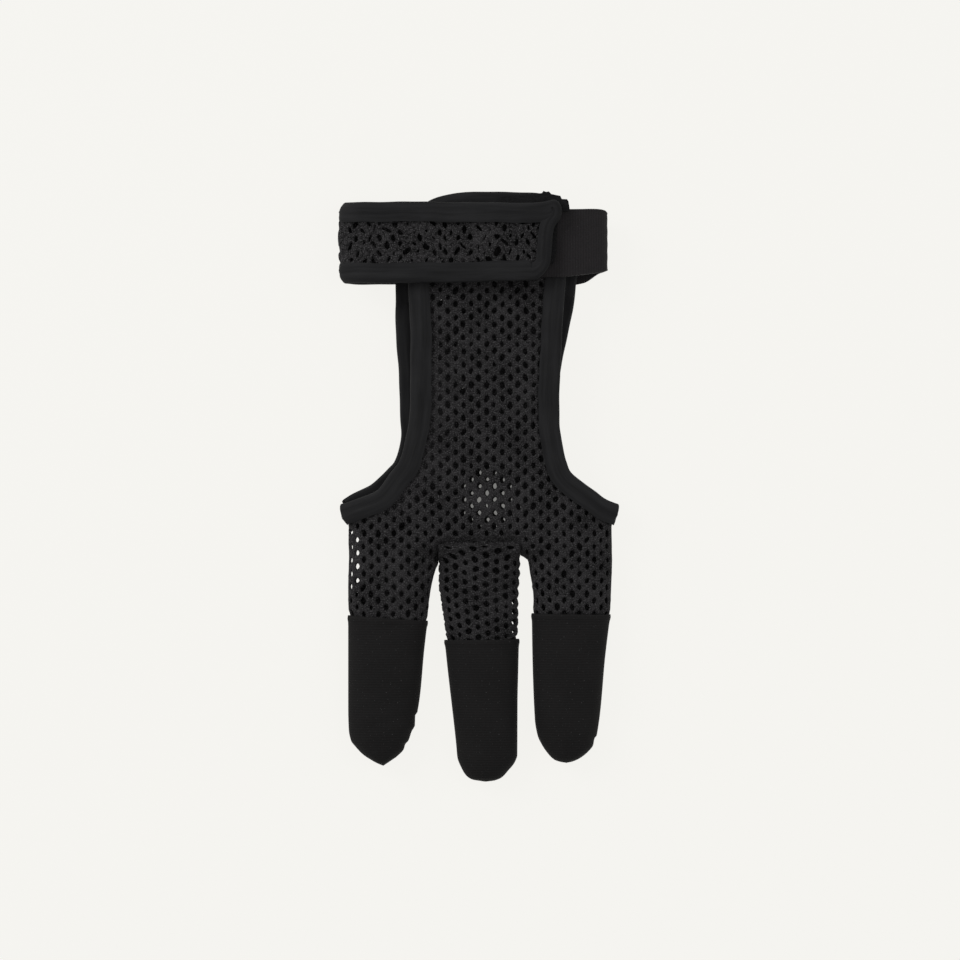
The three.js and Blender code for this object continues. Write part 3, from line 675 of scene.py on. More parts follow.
def net_piece(name, place, box, column, row, gap, wall, keep, is_open, trim=None, shift=None,
              turn=0.0, uneven=0.2, seed=1, flip=False, wrap=None, gather=0.12, share=None):
    """A knitted net: staggered columns of gaps between crowned ribs, put on the body by place.

    box is (left, right, low, high) in the flat layout, column and row the spacing of the gaps,
    and gap their half width and half length. keep says which gaps belong to the piece and is_open
    which of those are open. trim moves points back inside the piece's outline, and shift moves them
    in the layout. wrap is the length round a tube, whose rows rise by turn for each millimetre.
    uneven is how far points stray, and gather and share say how much the gaps' size varies.
    """
    rng = np.random.default_rng(seed)
    size = max(box[1] - box[0], box[3] - box[2])
    points, crowns, faces = [], [], []
    shared = {}
    columns, rows = int(size / column) + 2, int(size / row) + 2

    def to_flat(p):
        return np.array([p[0] + column / 4, p[1] + p[0] * turn]) if wrap else np.array(p)

    def corner(p, crown):
        past = math.floor((p[0] + 0.01) / wrap) * wrap if wrap else 0
        key = (round((p[0] - past) * 100), round((p[1] + past * turn) * 100))
        if key not in shared:
            shared[key] = len(points)
            points.append(to_flat(p))
            crowns.append(crown)
        return shared[key]

    span = range(-columns, columns + 1) if not wrap else range(int(round(wrap / column)))
    for i in span:
        for j in range(-rows, rows + 1):
            centre = np.array([i * column, (j + (0.5 if i % 2 else 0.0)) * row])
            at = to_flat(centre)
            if shift:
                at = at + shift(at[None])[0]
            if not (box[0] <= at[0] <= box[1] and box[2] <= at[1] <= box[3]) and not wrap:
                continue
            if not keep(at[0], at[1]):
                continue
            rim = [corner(centre + RIM[k] * (column, row / 2), 0.0 if k % 2 else KNOT) for k in range(8)]
            grown = (1 + gather * rng.standard_normal()) * (share(*at) if share else 1)
            lean = gather * rng.standard_normal()
            half = np.array(gap) * np.clip(grown, GAP_LEAST, GAP_MOST)
            off = rng.uniform(-GAP_WANDER, GAP_WANDER, 2)
            inner, outer = [], []
            for k in range(8):
                hole = centre + off + GAP[k] * half + (GAP[k][1] * half[1] * lean, 0)
                edge = centre + RIM[k] * (column, row / 2)
                outer.append(len(points))
                points.append(to_flat(hole * FLANK_SHARE + edge * (1 - FLANK_SHARE)))
                crowns.append(FLANK)
                inner.append(len(points))
                points.append(to_flat(hole))
                crowns.append(LIP)
            for k in range(8):
                n = (k + 1) % 8
                faces.append((rim[k], rim[n], outer[n], outer[k]))
                faces.append((outer[k], outer[n], inner[n], inner[k]))
            if not is_open(at[0], at[1]):
                faces.append(tuple(inner))
    flat = np.array(points)
    crown = np.array(crowns)
    if shift:
        flat = flat + shift(flat)
    flat = flat + uneven * np.column_stack([ripple(flat[:, 0], flat[:, 1], seed + 1),
                                            ripple(flat[:, 0], flat[:, 1], seed + 2)])
    crown = crown + 0.1 * ripple(flat[:, 0] * 2, flat[:, 1] * 2, seed + 3) - 0.12
    if trim:
        flat, moved = trim(flat)
        faces = [f for f in faces if not all(moved[v] for v in f)]
        crown = np.where(moved, TRIMMED, crown)
    if flip:
        faces = [f[::-1] for f in faces]
    used = np.unique(np.concatenate([np.array(f) for f in faces]))
    number = np.full(len(flat), -1)
    number[used] = np.arange(len(used))
    faces = [tuple(int(v) for v in number[list(f)]) for f in faces]
    flat, crown = flat[used], crown[used]
    points, faces = walled(place(flat, crown), place(flat, crown * 0.3 - wall), faces)
    piece = new_piece(name, points, faces, np.vstack([flat, flat]))
    tidy(piece, 55)
    return piece


def fold_profile(width, thickness):
    """Middle line of a tape folded over an edge: (inward from the edge, lift)."""
    cloth, clear = 0.8, 0.1
    top, bottom = thickness / 2 + clear, -cloth - thickness / 2 - clear
    middle, radius = (top + bottom) / 2, (top - bottom) / 2
    front = [(d, top) for d in np.linspace(width, radius, 11)]
    turn = [(radius - radius * math.sin(a), middle + radius * math.cos(a))
            for a in np.linspace(0, math.pi, 9)[1:-1]]
    back = [(d, bottom) for d in np.linspace(radius, width, 8)]
    return np.array(front + turn + back), len(front)


def tape_relief(share, s, seed, bent):
    """Roll and fold line of a tape's face, and the waves of its free edge where it is bent.

    share is the place across the tape, from its folded edge to its free one, and s the length along.
    """
    roll, fold, drop = 0.22, 0.28, 0.12
    fold_at, drop_from = 0.55 + 0.08 * math.sin(s / 17 + seed), 0.86
    swell = roll * math.sin(math.pi * min(share * 1.05, 1)) ** 2
    crease = fold * math.exp(-((share - fold_at) / 0.07) ** 2)
    tuck = -drop * max(0.0, share - drop_from) / (1 - drop_from)
    wave = 0.10 * math.sin(s / 2.9 + seed) * share + 0.08 * math.sin(s / 1.7 + 2 * seed) * share
    lines = math.sin(share * 9 + 0.35 * math.sin(s / 6 + seed)) * fade(0.1, 0.3, share)
    return swell + crease + tuck, (wave + 0.22 * bent * lines) * 0.8


def tape_piece(name, place, edge, width, thickness, seed, widths=None, flip=False, closed_side=None,
               ends=0.0):
    """A tape folded over an edge, given as flat points with the cloth on their right.

    widths gives its width along the edge as a share, closed_side draws it in at the side seams, and
    ends is how far its two ends stand up there.
    """
    ahead = np.gradient(edge, axis=0)
    ahead /= np.linalg.norm(ahead, axis=1, keepdims=True)
    inward = np.column_stack([ahead[:, 1], -ahead[:, 0]])
    for _ in range(3):
        inward[1:-1] = (inward[:-2] + inward[1:-1] * 2 + inward[2:]) / 4
    inward /= np.linalg.norm(inward, axis=1, keepdims=True)
    profile, front = fold_profile(width, thickness)
    along = lengths_along(edge)
    count = len(profile)
    flat, lift, uv = [], [], []
    wide = np.ones(len(edge)) if widths is None else widths(along)
    folded_length = lengths_along(profile)
    for k in range(len(edge)):
        s = along[k]
        for j, (d, up) in enumerate(profile):
            share = d / width
            face = 1 if j < front else -1
            face_lift, wave = tape_relief(share, s, seed, 1 - abs(float(ahead[k][1])))
            push = ends * max(math.exp(-(s / 3.5) ** 2), math.exp(-((along[-1] - s) / 3.5) ** 2))
            lift.append(up + face * face_lift + wave + push)
            reach = d * (wide[k] if d > 1.5 else 1 + (wide[k] - 1) * d / 1.5)
            wander = 0.14 * math.sin(s / 4.3 + seed * 3) + 0.08 * math.sin(s / 1.9 + seed)
            flat.append(edge[k] + inward[k] * (reach + wander * (0.6 if share < 0.5 else 1.0)))
            uv.append((s, folded_length[j]))
    faces = []
    for k in range(len(edge) - 1):
        for j in range(count - 1):
            a = k * count + j
            faces.append((a, a + 1, a + 1 + count, a + count))
    flat = np.array(flat)
    if closed_side is not None:
        flat = closed_side(flat)
    if not flip:
        faces = [f[::-1] for f in faces]
    piece = new_piece(name, place(flat, np.array(lift)), faces, uv)
    thicken(piece, thickness, 0.0)
    tidy(piece, 60)
    return piece, along[-1]


def edge_flat(face, rows, step=0.8):
    """A bound edge of a face, from the left side seam over the wrist to the right one."""
    left = [(r[1], r[0]) for r in rows]
    right = [(r[2], r[0]) for r in reversed(rows)]
    line = spline(left + right, step)
    return np.column_stack([face.flatten(line[:, 0], line[:, 1]), line[:, 1]])


def distance_inside(edge, x, y):
    """How far inside a bound edge a flat point lies, negative outside of it."""
    d = np.hypot(edge[:, 0] - x, edge[:, 1] - y)
    k = int(np.argmin(d))
    a, b = edge[max(k - 1, 0)], edge[min(k + 1, len(edge) - 1)]
    side = (b[0] - a[0]) * (y - a[1]) - (b[1] - a[1]) * (x - a[0])
    return -math.copysign(d[k], side)


# Materials


def add_node(tree, kind, inputs=None, links=None, **settings):
    """Adds a node with its settings, input values and incoming links."""
    node = tree.nodes.new(kind)
    for key, value in settings.items():
        setattr(node, key, value)
    for key, value in (inputs or {}).items():
        node.inputs[key].default_value = value
    for key, source in (links or {}).items():
        tree.links.new(source, node.inputs[key])
    return node


FLECK_MM = 0.42  # filaments and lint are 0.02 mm thick, and drawn this coarse so that they show
FLECK_COLOUR = linear(0x4D4C4D)
PATCH_MM, PATCH_SHARE = 11.0, 0.35  # patches where the cloth was handled, and how much they count
MOTTLE_RANGE = (0.53, 0.80)  # levels of grain and patches at which the cloth is darkest and lightest
CLOTH_SHINE = 0.12


def cloth_material(name, shade, roughness, grain_mm, grain_depth, mottle, ribs=None, flecks=0.0,
                   stretch=1.0):
    """Cloth with a fine grain in its layout's millimetres, ribs (spacing, depth, axis) and pale flecks.

    stretch draws the grain out along the first axis of the layout.
    """
    material = bpy.data.materials.new(name)
    material.use_nodes = True
    tree = material.node_tree
    tree.nodes.clear()
    layout = add_node(tree, "ShaderNodeUVMap", uv_map="flat").outputs["UV"]
    drawn = add_node(tree, "ShaderNodeMapping", {"Scale": (stretch, 1.0, 1.0)}, {"Vector": layout})
    grain = add_node(tree, "ShaderNodeTexNoise",
                     {"Scale": 1 / grain_mm, "Detail": 4.0, "Roughness": 0.7},
                     {"Vector": drawn.outputs["Vector"]})
    patches = add_node(tree, "ShaderNodeTexNoise", {"Scale": 1 / PATCH_MM, "Detail": 2.0},
                       {"Vector": layout})
    level = grain.outputs["Fac"]
    if ribs:
        spacing, depth, axis = ribs
        uneven = {"Distortion": 0.6, "Detail": 1.0, "Detail Scale": 2.0}
        wave = add_node(tree, "ShaderNodeTexWave", {"Scale": math.pi / 10 / spacing, **uneven},
                        {"Vector": layout}, bands_direction=axis)
        both = add_node(tree, "ShaderNodeMix", {"Factor": depth}, {"A": level, "B": wave.outputs["Fac"]})
        level = both.outputs["Result"]
    faint = add_node(tree, "ShaderNodeMath", {1: PATCH_SHARE}, {0: patches.outputs["Fac"]},
                     operation="MULTIPLY")
    total = add_node(tree, "ShaderNodeMath", {}, {0: level, 1: faint.outputs[0]}, operation="ADD")
    tint = add_node(tree, "ShaderNodeValToRGB", {}, {"Fac": total.outputs[0]})
    ends = zip(tint.color_ramp.elements, MOTTLE_RANGE, (1 - mottle, 1 + mottle))
    for element, position, strength in ends:
        element.position = position
        element.color = (*[c * strength for c in shade], 1)
    seen = tint.outputs["Color"]
    if flecks:
        specks = add_node(tree, "ShaderNodeTexNoise", {"Scale": 1 / FLECK_MM, "Detail": 1.0},
                          {"Vector": layout})
        pick = add_node(tree, "ShaderNodeMapRange",
                        {"From Min": 1 - flecks, "From Max": 1.02 - flecks * 0.8},
                        {"Value": specks.outputs["Fac"]})
        mix = add_node(tree, "ShaderNodeMix", {7: (*FLECK_COLOUR, 1)},
                       {0: pick.outputs["Result"], 6: seen}, data_type="RGBA")
        seen = mix.outputs[2]
    bump = add_node(tree, "ShaderNodeBump", {"Strength": 0.8, "Distance": grain_depth * MM},
                    {"Height": level})
    shader = add_node(tree, "ShaderNodeBsdfPrincipled",
                      {"Roughness": roughness, "Specular IOR Level": CLOTH_SHINE},
                      {"Base Color": seen, "Normal": bump.outputs["Normal"]})
    add_node(tree, "ShaderNodeOutputMaterial", {}, {"Surface": shader.outputs["BSDF"]})
    return material


# Each cloth's colour, how much of it, and its look
CLOTHS = {
    # Warp-knitted and dyed black. Loops some 0.6 mm wide make it matt and grainy, and single pale
    # filaments catch the light on its ribs
    "Knitted polyester net": ("net", 1.0, {
        "roughness": 0.85, "grain_mm": 0.6, "grain_depth": 0.45, "mottle": 0.8, "flecks": 0.43}),
    # The same net where hooks have roughened it. Pulled tufts of 1.1 mm make it uneven, dark and light
    "Worn polyester net": ("net", 0.86, {
        "roughness": 0.85, "grain_mm": 1.1, "grain_depth": 0.6, "mottle": 0.95, "flecks": 0.44}),
    # Plain-woven, folded and pressed: smooth, with soft lines along its folds, 2.4 mm apart
    "Woven binding tape": ("tape", 1.0, {
        "roughness": 0.7, "grain_mm": 2.4, "grain_depth": 0.1, "mottle": 0.28, "stretch": 0.06}),
    # Woven with fine ribs across the finger: the darkest and smoothest cloth, with a little lint. Two
    # ribs of 0.45 mm are drawn as one, so that they show
    "Ribbed fingertip cloth": ("stall", 1.0, {
        "roughness": 0.75, "grain_mm": 0.6, "grain_depth": 0.06, "mottle": 0.2,
        "ribs": (0.9, 0.25, "Y"), "flecks": 0.29}),
    # Woven over rubber threads that draw it together: fine ribs across the band, 0.95 mm apart
    "Woven elastic": ("elastic", 1.0, {
        "roughness": 0.72, "grain_mm": 0.6, "grain_depth": 0.08, "mottle": 0.2,
        "ribs": (0.95, 0.2, "X"), "flecks": 0.27}),
    # Moulded nylon: stiff, black and uneven, as its hooks of some 0.9 mm take the light
    "Nylon hook tape": ("hook", 1.0, {
        "roughness": 0.6, "grain_mm": 0.9, "grain_depth": 0.3, "mottle": 0.5}),
}


def cloth_named(name):
    """A cloth's material, made when it is first asked for."""
    if name in bpy.data.materials:
        return bpy.data.materials[name]
    colour_name, strength, look = CLOTHS[name]
    shade = getattr(bpy.context.scene.glove_colours, colour_name)
    return cloth_material(name, [c * strength for c in shade], **look)


def dress(piece, cloth, node):
    """Finishes a piece: its cloth, its body and the node that it replaces."""
    piece.data.materials.clear()
    piece.data.materials.append(cloth_named(cloth))
    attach(piece, "root")
    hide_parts(node)


# Operators


class GLOVE_OT_stage(bpy.types.Operator):
    """Pale floor, soft light and the camera straight above."""

    bl_idname = "glove.stage"
    bl_label = "Stage"

    def execute(self, context):
        scene = context.scene
        bpy.ops.object.select_all(action="DESELECT")
        bpy.ops.mesh.primitive_plane_add(size=FLOOR_SIZE, location=(0, 0, -0.2 * MM))
        floor = context.active_object
        floor.name = "floor"
        bpy.ops.object.transform_apply(location=True, rotation=True, scale=True)
        # A matt sheet that is lit from below as well, so that next to nothing casts a shadow on it.
        # Under the palm its glow is turned down as a painted shadow, which shows grey through the gaps
        material = bpy.data.materials.new("Cast opal acrylic")
        material.use_nodes = True
        tree = material.node_tree
        shader = tree.nodes["Principled BSDF"]
        pale = scene.glove_colours.floor
        place = add_node(tree, "ShaderNodeTexCoord").outputs["Object"]
        # Painted shadow: the floor's glow is lowest within 10 mm of this point under the palm and full
        # beyond 20 mm
        spot = (SPOT_ACROSS * MM, SPOT_ALONG * MM, 0)
        away = add_node(tree, "ShaderNodeVectorMath", {1: spot}, {0: place}, operation="DISTANCE")
        limits = {"From Min": 10 * MM, "From Max": 20 * MM, "To Min": PAINTED_SHADOW_GLOW, "To Max": FLOOR_GLOW}
        glow = add_node(tree, "ShaderNodeMapRange", limits, {"Value": away.outputs["Value"]},
                        interpolation_type="SMOOTHSTEP")
        tree.links.new(glow.outputs["Result"], shader.inputs["Emission Strength"])
        for socket, value in {
            "Base Color": (*[c * 0.06 for c in pale], 1),
            "Emission Color": (*pale, 1),
            "Roughness": 0.9,
            "Specular IOR Level": 0.0,
        }.items():
            shader.inputs[socket].default_value = value
        floor.data.materials.append(material)

        world = bpy.data.worlds.new("Soft room")
        world.use_nodes = True
        sky = world.node_tree.nodes["Background"]
        sky.inputs["Color"].default_value = (1.0, 1.0, 1.0, 1)
        sky.inputs["Strength"].default_value = SKY_STRENGTH
        scene.world = world
        for name, place, size, power in LAMPS:
            data = bpy.data.lights.new(name, "AREA")
            data.size = size
            data.energy = power
            lamp = bpy.data.objects.new(name, data)
            lamp.location = place
            lamp.rotation_euler = (-Vector(place)).to_track_quat("-Z", "Y").to_euler()
            scene.collection.objects.link(lamp)

        camera_data = bpy.data.cameras.new("camera")
        camera_data.sensor_width = SENSOR
        camera_data.lens = SENSOR * EYE_HEIGHT / VIEW_WIDTH
        camera_data.dof.use_dof = False
        camera = bpy.data.objects.new("camera", camera_data)
        camera.location = (VIEW_CENTRE[0] * MM, VIEW_CENTRE[1] * MM, EYE_HEIGHT * MM)
        scene.collection.objects.link(camera)
        scene.camera = camera
        scene.view_settings.view_transform = "Standard"
        return {"FINISHED"}


def net_sizes():
    """The net's column, row, half gap and thickness."""
    s = sizes()
    return s["net_column"], s["net_row"], (s["gap_width"] / 2, s["gap_length"] / 2), s["net_thickness"]


def stall_line(name, x):
    """Reach of a stall's mouth at a place across."""
    (xl, yl), (xr, yr) = STALLS[name]["left"][0], STALLS[name]["right"][0]
    return yl + (yr - yl) * (x - xl) / (xr - xl)


def panel_rules(face, edge, top):
    """Which gaps belong to a panel, and how its points are trimmed."""

    past_top, past_side, into_stall = 2.3, 2.0, 3.0
    seam_end, seam_side = MIDDLE_SEAM - 0.5, 0.02

    def keep(t, y):
        if y > top + past_top:
            return False
        if y > -6.0:
            return distance_inside(edge, t, y) > NET_INSIDE
        low, high = face.sides(y)
        if not low - past_side < t < high + past_side:
            return False
        if y > -14 and distance_inside(edge, t, y) < NET_INSIDE:
            return False
        if y < MIDDLE_SEAM - 1.5:
            left, right = face.inner_sides(y)
            if left + 1.6 < t < right - 1.6:
                return False
        return y > stall_line("index" if t < 0 else "ring", t) - into_stall

    def is_open(t, y):
        low, high = face.sides(y)
        if not low + 0.95 < t < high - 0.95:
            return False
        left, right = face.inner_sides(y)
        if not left - 1.2 < t < right + 1.2:
            return True
        return y >= MIDDLE_SEAM + (1.2 if LEFT_WEB - 2 < t < RIGHT_WEB + 2 else 0)

    def trim(flat):
        t, y = flat[:, 0].copy(), flat[:, 1].copy()
        low, high = face.sides(y)
        moved = (t < low) | (t > high) | (y > top + 0.4)
        y = np.minimum(y, top + 0.4)
        t = np.clip(t, low + seam_side, high - seam_side)
        left, right = face.inner_sides(y)
        gone = (y < seam_end) & (t > left) & (t < right)
        to_top = seam_end - y
        to_left, to_right = t - left, right - t
        up = gone & (to_top <= to_left) & (to_top <= to_right) & (to_top < 4)
        leftwards = gone & ~up & (to_left < to_right)
        rightwards = gone & ~up & (to_left >= to_right)
        y[up] = seam_end
        t[leftwards] = left[leftwards] - seam_side
        t[rightwards] = right[rightwards] + seam_side
        return np.column_stack([t, y]), moved | gone

    return keep, is_open, trim


def stall_step(past):
    """How far a net is drawn in, a length past the mouth of its stall."""
    return 0.45 * fade(-2.2, -0.1, past) + 0.6 * fade(-0.2, 1.6, past)


def tuck(face):
    """Places a panel's net, which steps down where it goes into the stalls."""

    def place(flat, lift):
        t, y = flat[:, 0], flat[:, 1]
        mouth = np.where(t < 0, stall_line("index", t), stall_line("ring", t))
        return face.place(flat, lift - stall_step(mouth - y))

    return place


class GLOVE_OT_back_net(bpy.types.Operator):
    """Net of the back of the hand with the index and ring fingers."""

    bl_idname = "glove.back_net"
    bl_label = "Back net"

    def execute(self, context):
        column, row, gap, wall = net_sizes()
        edge = edge_flat(BACK, BACK_EDGE)
        keep, is_open, trim = panel_rules(BACK, edge, 110)
        piece = net_piece("back_net", tuck(BACK), (-54, 54, -53, 106), column, row, gap, wall,
                          keep, is_open, trim, seed=11)
        dress(piece, "Knitted polyester net", "back_panel")
        return {"FINISHED"}


class GLOVE_OT_palm_net(bpy.types.Operator):
    """Net of the palm, which shows through the back where the gaps of both lie in line."""

    bl_idname = "glove.palm_net"
    bl_label = "Palm net"

    def execute(self, context):
        column, row, gap, wall = net_sizes()
        edge = edge_flat(PALM, PALM_EDGE)
        keep, is_open, trim = panel_rules(PALM, edge, PALM_TOP)

        def in_line(t, y):
            """How nearly the gaps line up in the spot and along the index finger's outer edge."""
            away = np.hypot(t - SPOT_ACROSS, y - SPOT_ALONG) / SPOT_RADIUS
            near = np.minimum(1.25 * np.exp(-away ** 2), SPOT_MOST)
            side = (1 - fade(-43.8, -41.3, t)) * fade(-41.5, -36.5, y) * (1 - fade(-17.5, -14.5, y))
            return near, side

        def shift(flat):
            apart = column * (1 - np.clip(sum(in_line(flat[:, 0], flat[:, 1])), 0, 1))
            return np.column_stack([apart, np.zeros_like(apart)])

        def share(t, y):
            """Size of the palm's gaps: no light comes through near the strap."""
            near, side = in_line(t, y)
            return 0.58 - 0.3 * fade(48, 58, y) + 0.14 * near + 0.34 * side

        piece = net_piece("palm_net", tuck(PALM), (-54, 54, -53, PALM_TOP + 1), column, row, gap, wall,
                          keep, is_open, trim, shift=shift, seed=11, flip=True, share=share)
        dress(piece, "Knitted polyester net", "palm_panel")
        return {"FINISHED"}


class GLOVE_OT_middle_net(bpy.types.Operator):
    """Net tube of the middle finger, with its gaps across."""

    bl_idname = "glove.middle_net"
    bl_label = "Middle finger net"

    def execute(self, context):
        wall = net_sizes()[3]
        tube = Tube()
        columns = 2 * int(round(tube.round / 3.75 / 2))
        column, row = tube.round / columns, 3.5
        end = MIDDLE_SEAM + 0.6

        def place(flat, lift):
            past = stall_line("middle", tube.surface(flat)[:, 0]) - flat[:, 1]
            sewn_under = 0.7 * fade(MIDDLE_SEAM - 2.2, MIDDLE_SEAM - 0.2, flat[:, 1])
            return tube.place(flat, lift - stall_step(past) - sewn_under)

        def keep(t, y):
            return MIDDLE_SEAM + 2.6 > y > -58.5

        def under(t):
            return (t / tube.round) % 1 > 0.5

        def is_open(t, y):
            """Open gaps, on the palm side only near the finger's sides and the stall."""
            x = float(tube.surface(np.array([[t, y]]))[0, 0])
            aside = abs(x - tube.middle(y)) / tube.half(y)
            hidden = under(t) and (aside < 0.74 or y > -41)
            return y < MIDDLE_SEAM - 1.1 and aside < 0.955 and not hidden

        def trim(flat):
            moved = flat[:, 1] > end
            return np.column_stack([flat[:, 0], np.minimum(flat[:, 1], end)]), moved

        piece = net_piece("middle_net", place, (0, tube.round, -60, -18), column, row, (1.1, 1.08), wall,
                          keep, is_open, trim, turn=-2 * row / tube.round, seed=31, wrap=tube.round,
                          share=lambda t, y: 0.72 if under(t) else 1)
        dress(piece, "Knitted polyester net", "middle_finger_net")
        return {"FINISHED"}


class GLOVE_OT_stalls(bpy.types.Operator):
    """The three closed fingertip stalls."""

    bl_idname = "glove.stalls"
    bl_label = "Fingertip stalls"

    def execute(self, context):
        for name in STALLS:
            self.stall(name)
        return {"FINISHED"}

    def stall(self, name):
        """A stall as rings from its mouth to its tip, where it is closed."""
        to_seam = 1 - SEAM_HEIGHT / EYE_HEIGHT
        left, right = (np.array(STALLS[name][side]) * to_seam for side in ("left", "right"))
        tip = min(left[-1, 1], right[-1, 1])
        height_at = smooth_curve(*np.array(STALL_HEIGHT).T)
        side_left, side_right = self.outline(left), self.outline(right)
        shares = 1 - (1 - np.linspace(0, 1, 64)) ** 2.2
        lip_shares = [0, 0.006, 0.013, 0.02, 0.03, 0.045]
        lip_height, softness = 0.26, 0.16
        shares = np.unique(np.concatenate([lip_shares, shares]))[:-1]
        around, mean_radius = 56, 9.0
        points, faces, flat = [], [], []
        for k, share in enumerate(shares):
            y_left, y_right = (rows[0, 1] + (tip - rows[0, 1]) * share for rows in (left, right))
            x_left, x_right = side_left(share), side_right(share)
            middle, half = (x_left + x_right) / 2, (x_right - x_left) / 2
            lip = lip_height * math.exp(-(share * 52 - 1.1) ** 2)
            for i in range(around):
                angle = 2 * math.pi * i / around
                c, s = math.cos(angle), math.sin(angle)
                across = math.copysign(abs(c) ** (2 / FINGER_SQUARE), c)
                y = (y_left + y_right) / 2 + (y_right - y_left) / 2 * across
                x = middle + across * (half + lip)
                if s > 0:
                    soft = softness * float(ripple(x * 0.8, y * 0.8, len(name))) * s
                    z = SEAM_HEIGHT + s * (FINGER_RISE * height_at(share) + lip) + soft
                else:
                    z = SEAM_HEIGHT + s * (SEAM_HEIGHT - 0.05) * height_at(share)
                points.append((x, y, z))
                flat.append((angle * mean_radius, y))
            if k:
                for i in range(around):
                    a, b = (k - 1) * around + i, (k - 1) * around + (i + 1) % around
                    faces.append((a, b, b + around, a + around))
        last = (len(shares) - 1) * around
        end = np.mean(points[last:], axis=0) - (0, 0.12, 0)
        faces += [(last + i, last + (i + 1) % around, len(points)) for i in range(around)]
        points.append(end)
        flat.append((0, end[1]))
        piece = new_piece(f"{name}_tip", points, faces, flat)
        thicken(piece, sizes()["stall_thickness"])
        tidy(piece, 60)
        dress(piece, "Ribbed fingertip cloth", f"{name}_stall")

    def outline(self, rows):
        """A side of the outline, by the share of the stall's length."""
        start, stop = rows[0, 1], rows[-1, 1]
        return smooth_curve((start - rows[:, 1]) / (start - stop), rows[:, 0])


def dress_tape(piece, node):
    """Finishes a tape, which is twice its folded width when it is laid out flat."""
    dress(piece, "Woven binding tape", node)


class GLOVE_OT_bindings(bpy.types.Operator):
    """Tape folded over the free edges of the back and the palm."""

    bl_idname = "glove.bindings"
    bl_label = "Edge tapes"

    def execute(self, context):
        s = sizes()
        width, thickness = s["tape_width"], s["tape_thickness"]

        def hold(face):
            """Keeps a tape's ends inside the side seams, slanting in by these shares below the start."""
            start, left_slant, right_slant = -7.5, 0.28, 0.08

            def clip(flat):
                low, high = face.sides(flat[:, 1])
                cut = np.clip(start - flat[:, 1], 0, 6)
                low, high = low + 0.05 + left_slant * cut, high - 0.05 - right_slant * cut
                flat[:, 0] = np.clip(flat[:, 0], low, high)
                return flat
            return clip

        edge = edge_flat(BACK, BACK_EDGE)
        piece, length = tape_piece("back_binding", BACK.place, edge, width, thickness, 1.0, flip=True,
                                   closed_side=hold(BACK), ends=0.7)
        dress_tape(piece, "back_edge_tape")
        edge = edge_flat(PALM, PALM_EDGE)
        tape_end = 82.0
        edge = edge[edge[:, 1] < tape_end]
        for side, part in (("left", edge[edge[:, 0] < 0]), ("right", edge[edge[:, 0] > 0])):
            piece, length = tape_piece(f"palm_binding_{side}", PALM.place, part, width, thickness, 2.0,
                                       closed_side=hold(PALM))
            dress_tape(piece, f"palm_edge_tape_{side}")
        return {"FINISHED"}


class GLOVE_OT_strap(bpy.types.Operator):
    """Netted wrist strap with its folded tape."""

    bl_idname = "glove.strap"
    bl_label = "Wrist strap"

    def execute(self, context):
        s = sizes()
        band = Band(STRAP_ROUTE, STRAP_FOOT)
        wide = STRAP_WIDTH
        front_lift, fold_puff, fold_pull, roughness = 0.4, 1.6, 1.2, 0.35
        tape_width = s["tape_width"] - STRAP_TAPE_LESS
        free_end = np.array(STRAP_END)[:11]

        def keep(t, v):
            starts = np.interp(v, free_end[:, 1], free_end[:, 0]) + 2.6
            return starts < t < band.length - 0.5 and STRAP_INSIDE < v < wide - STRAP_INSIDE

        def round_turn(t):
            """How near the strap's fold a place is, and whether it lies in front of it."""
            return np.exp(-((t - band.turn) / 5.0) ** 2), 1 - fade(band.turn - 4, band.turn + 4, t)

        def place_net(flat, lift):
            fold, front = round_turn(flat[:, 0])
            middle = np.sin(np.pi * np.clip(flat[:, 1] / wide, 0, 1))
            rough = roughness * ripple(flat[:, 0], flat[:, 1], 77) * front
            return band.place(flat, lift + front_lift * front + fold_puff * fold * middle + rough)

        piece = net_piece("strap_mesh", place_net, (-4, band.length, 0, wide), 2.3, 5.2, (0.72, 1.12),
                          s["net_thickness"], keep, lambda t, v: t < band.turn - 3, seed=51,
                          uneven=0.8, gather=0.38)
        dress(piece, "Worn polyester net", "strap_net")

        low = [(x, 0.0) for x in np.arange(band.length, 7, -4.0)]
        high = [(x, wide - 1.2 * (1 - fade(5, 50, x))) for x in np.arange(9, band.length, 4.0)]
        edge = spline(low + list(STRAP_END) + high + [(band.length, wide)], 0.8)
        along = lengths_along(edge)
        starts, stops = (along[np.argmin(np.hypot(edge[:, 0] - x, edge[:, 1] - v))]
                         for x, v in ((0.9, 3.6), (-3.4, 27.0)))

        def widths(along):
            there = fade(starts - 6, starts + 1, along) * (1 - fade(stops - 1, stops + 6, along))
            return 1 - there * (1 - STRAP_END_TAPE / tape_width)

        def place(flat, lift):
            fold, front = round_turn(flat[:, 0])
            from_edge = np.clip(np.minimum(flat[:, 1], wide - flat[:, 1]), 0, None)
            drawn = fold_pull * fold * np.exp(-(from_edge / 1.8) ** 2)
            return band.place(flat, lift + front_lift * front - drawn)

        piece, length = tape_piece("strap_binding", place, edge, tape_width, s["tape_thickness"], 3.0,
                                   widths=widths)
        dress_tape(piece, "strap_edge_tape")
        return {"FINISHED"}


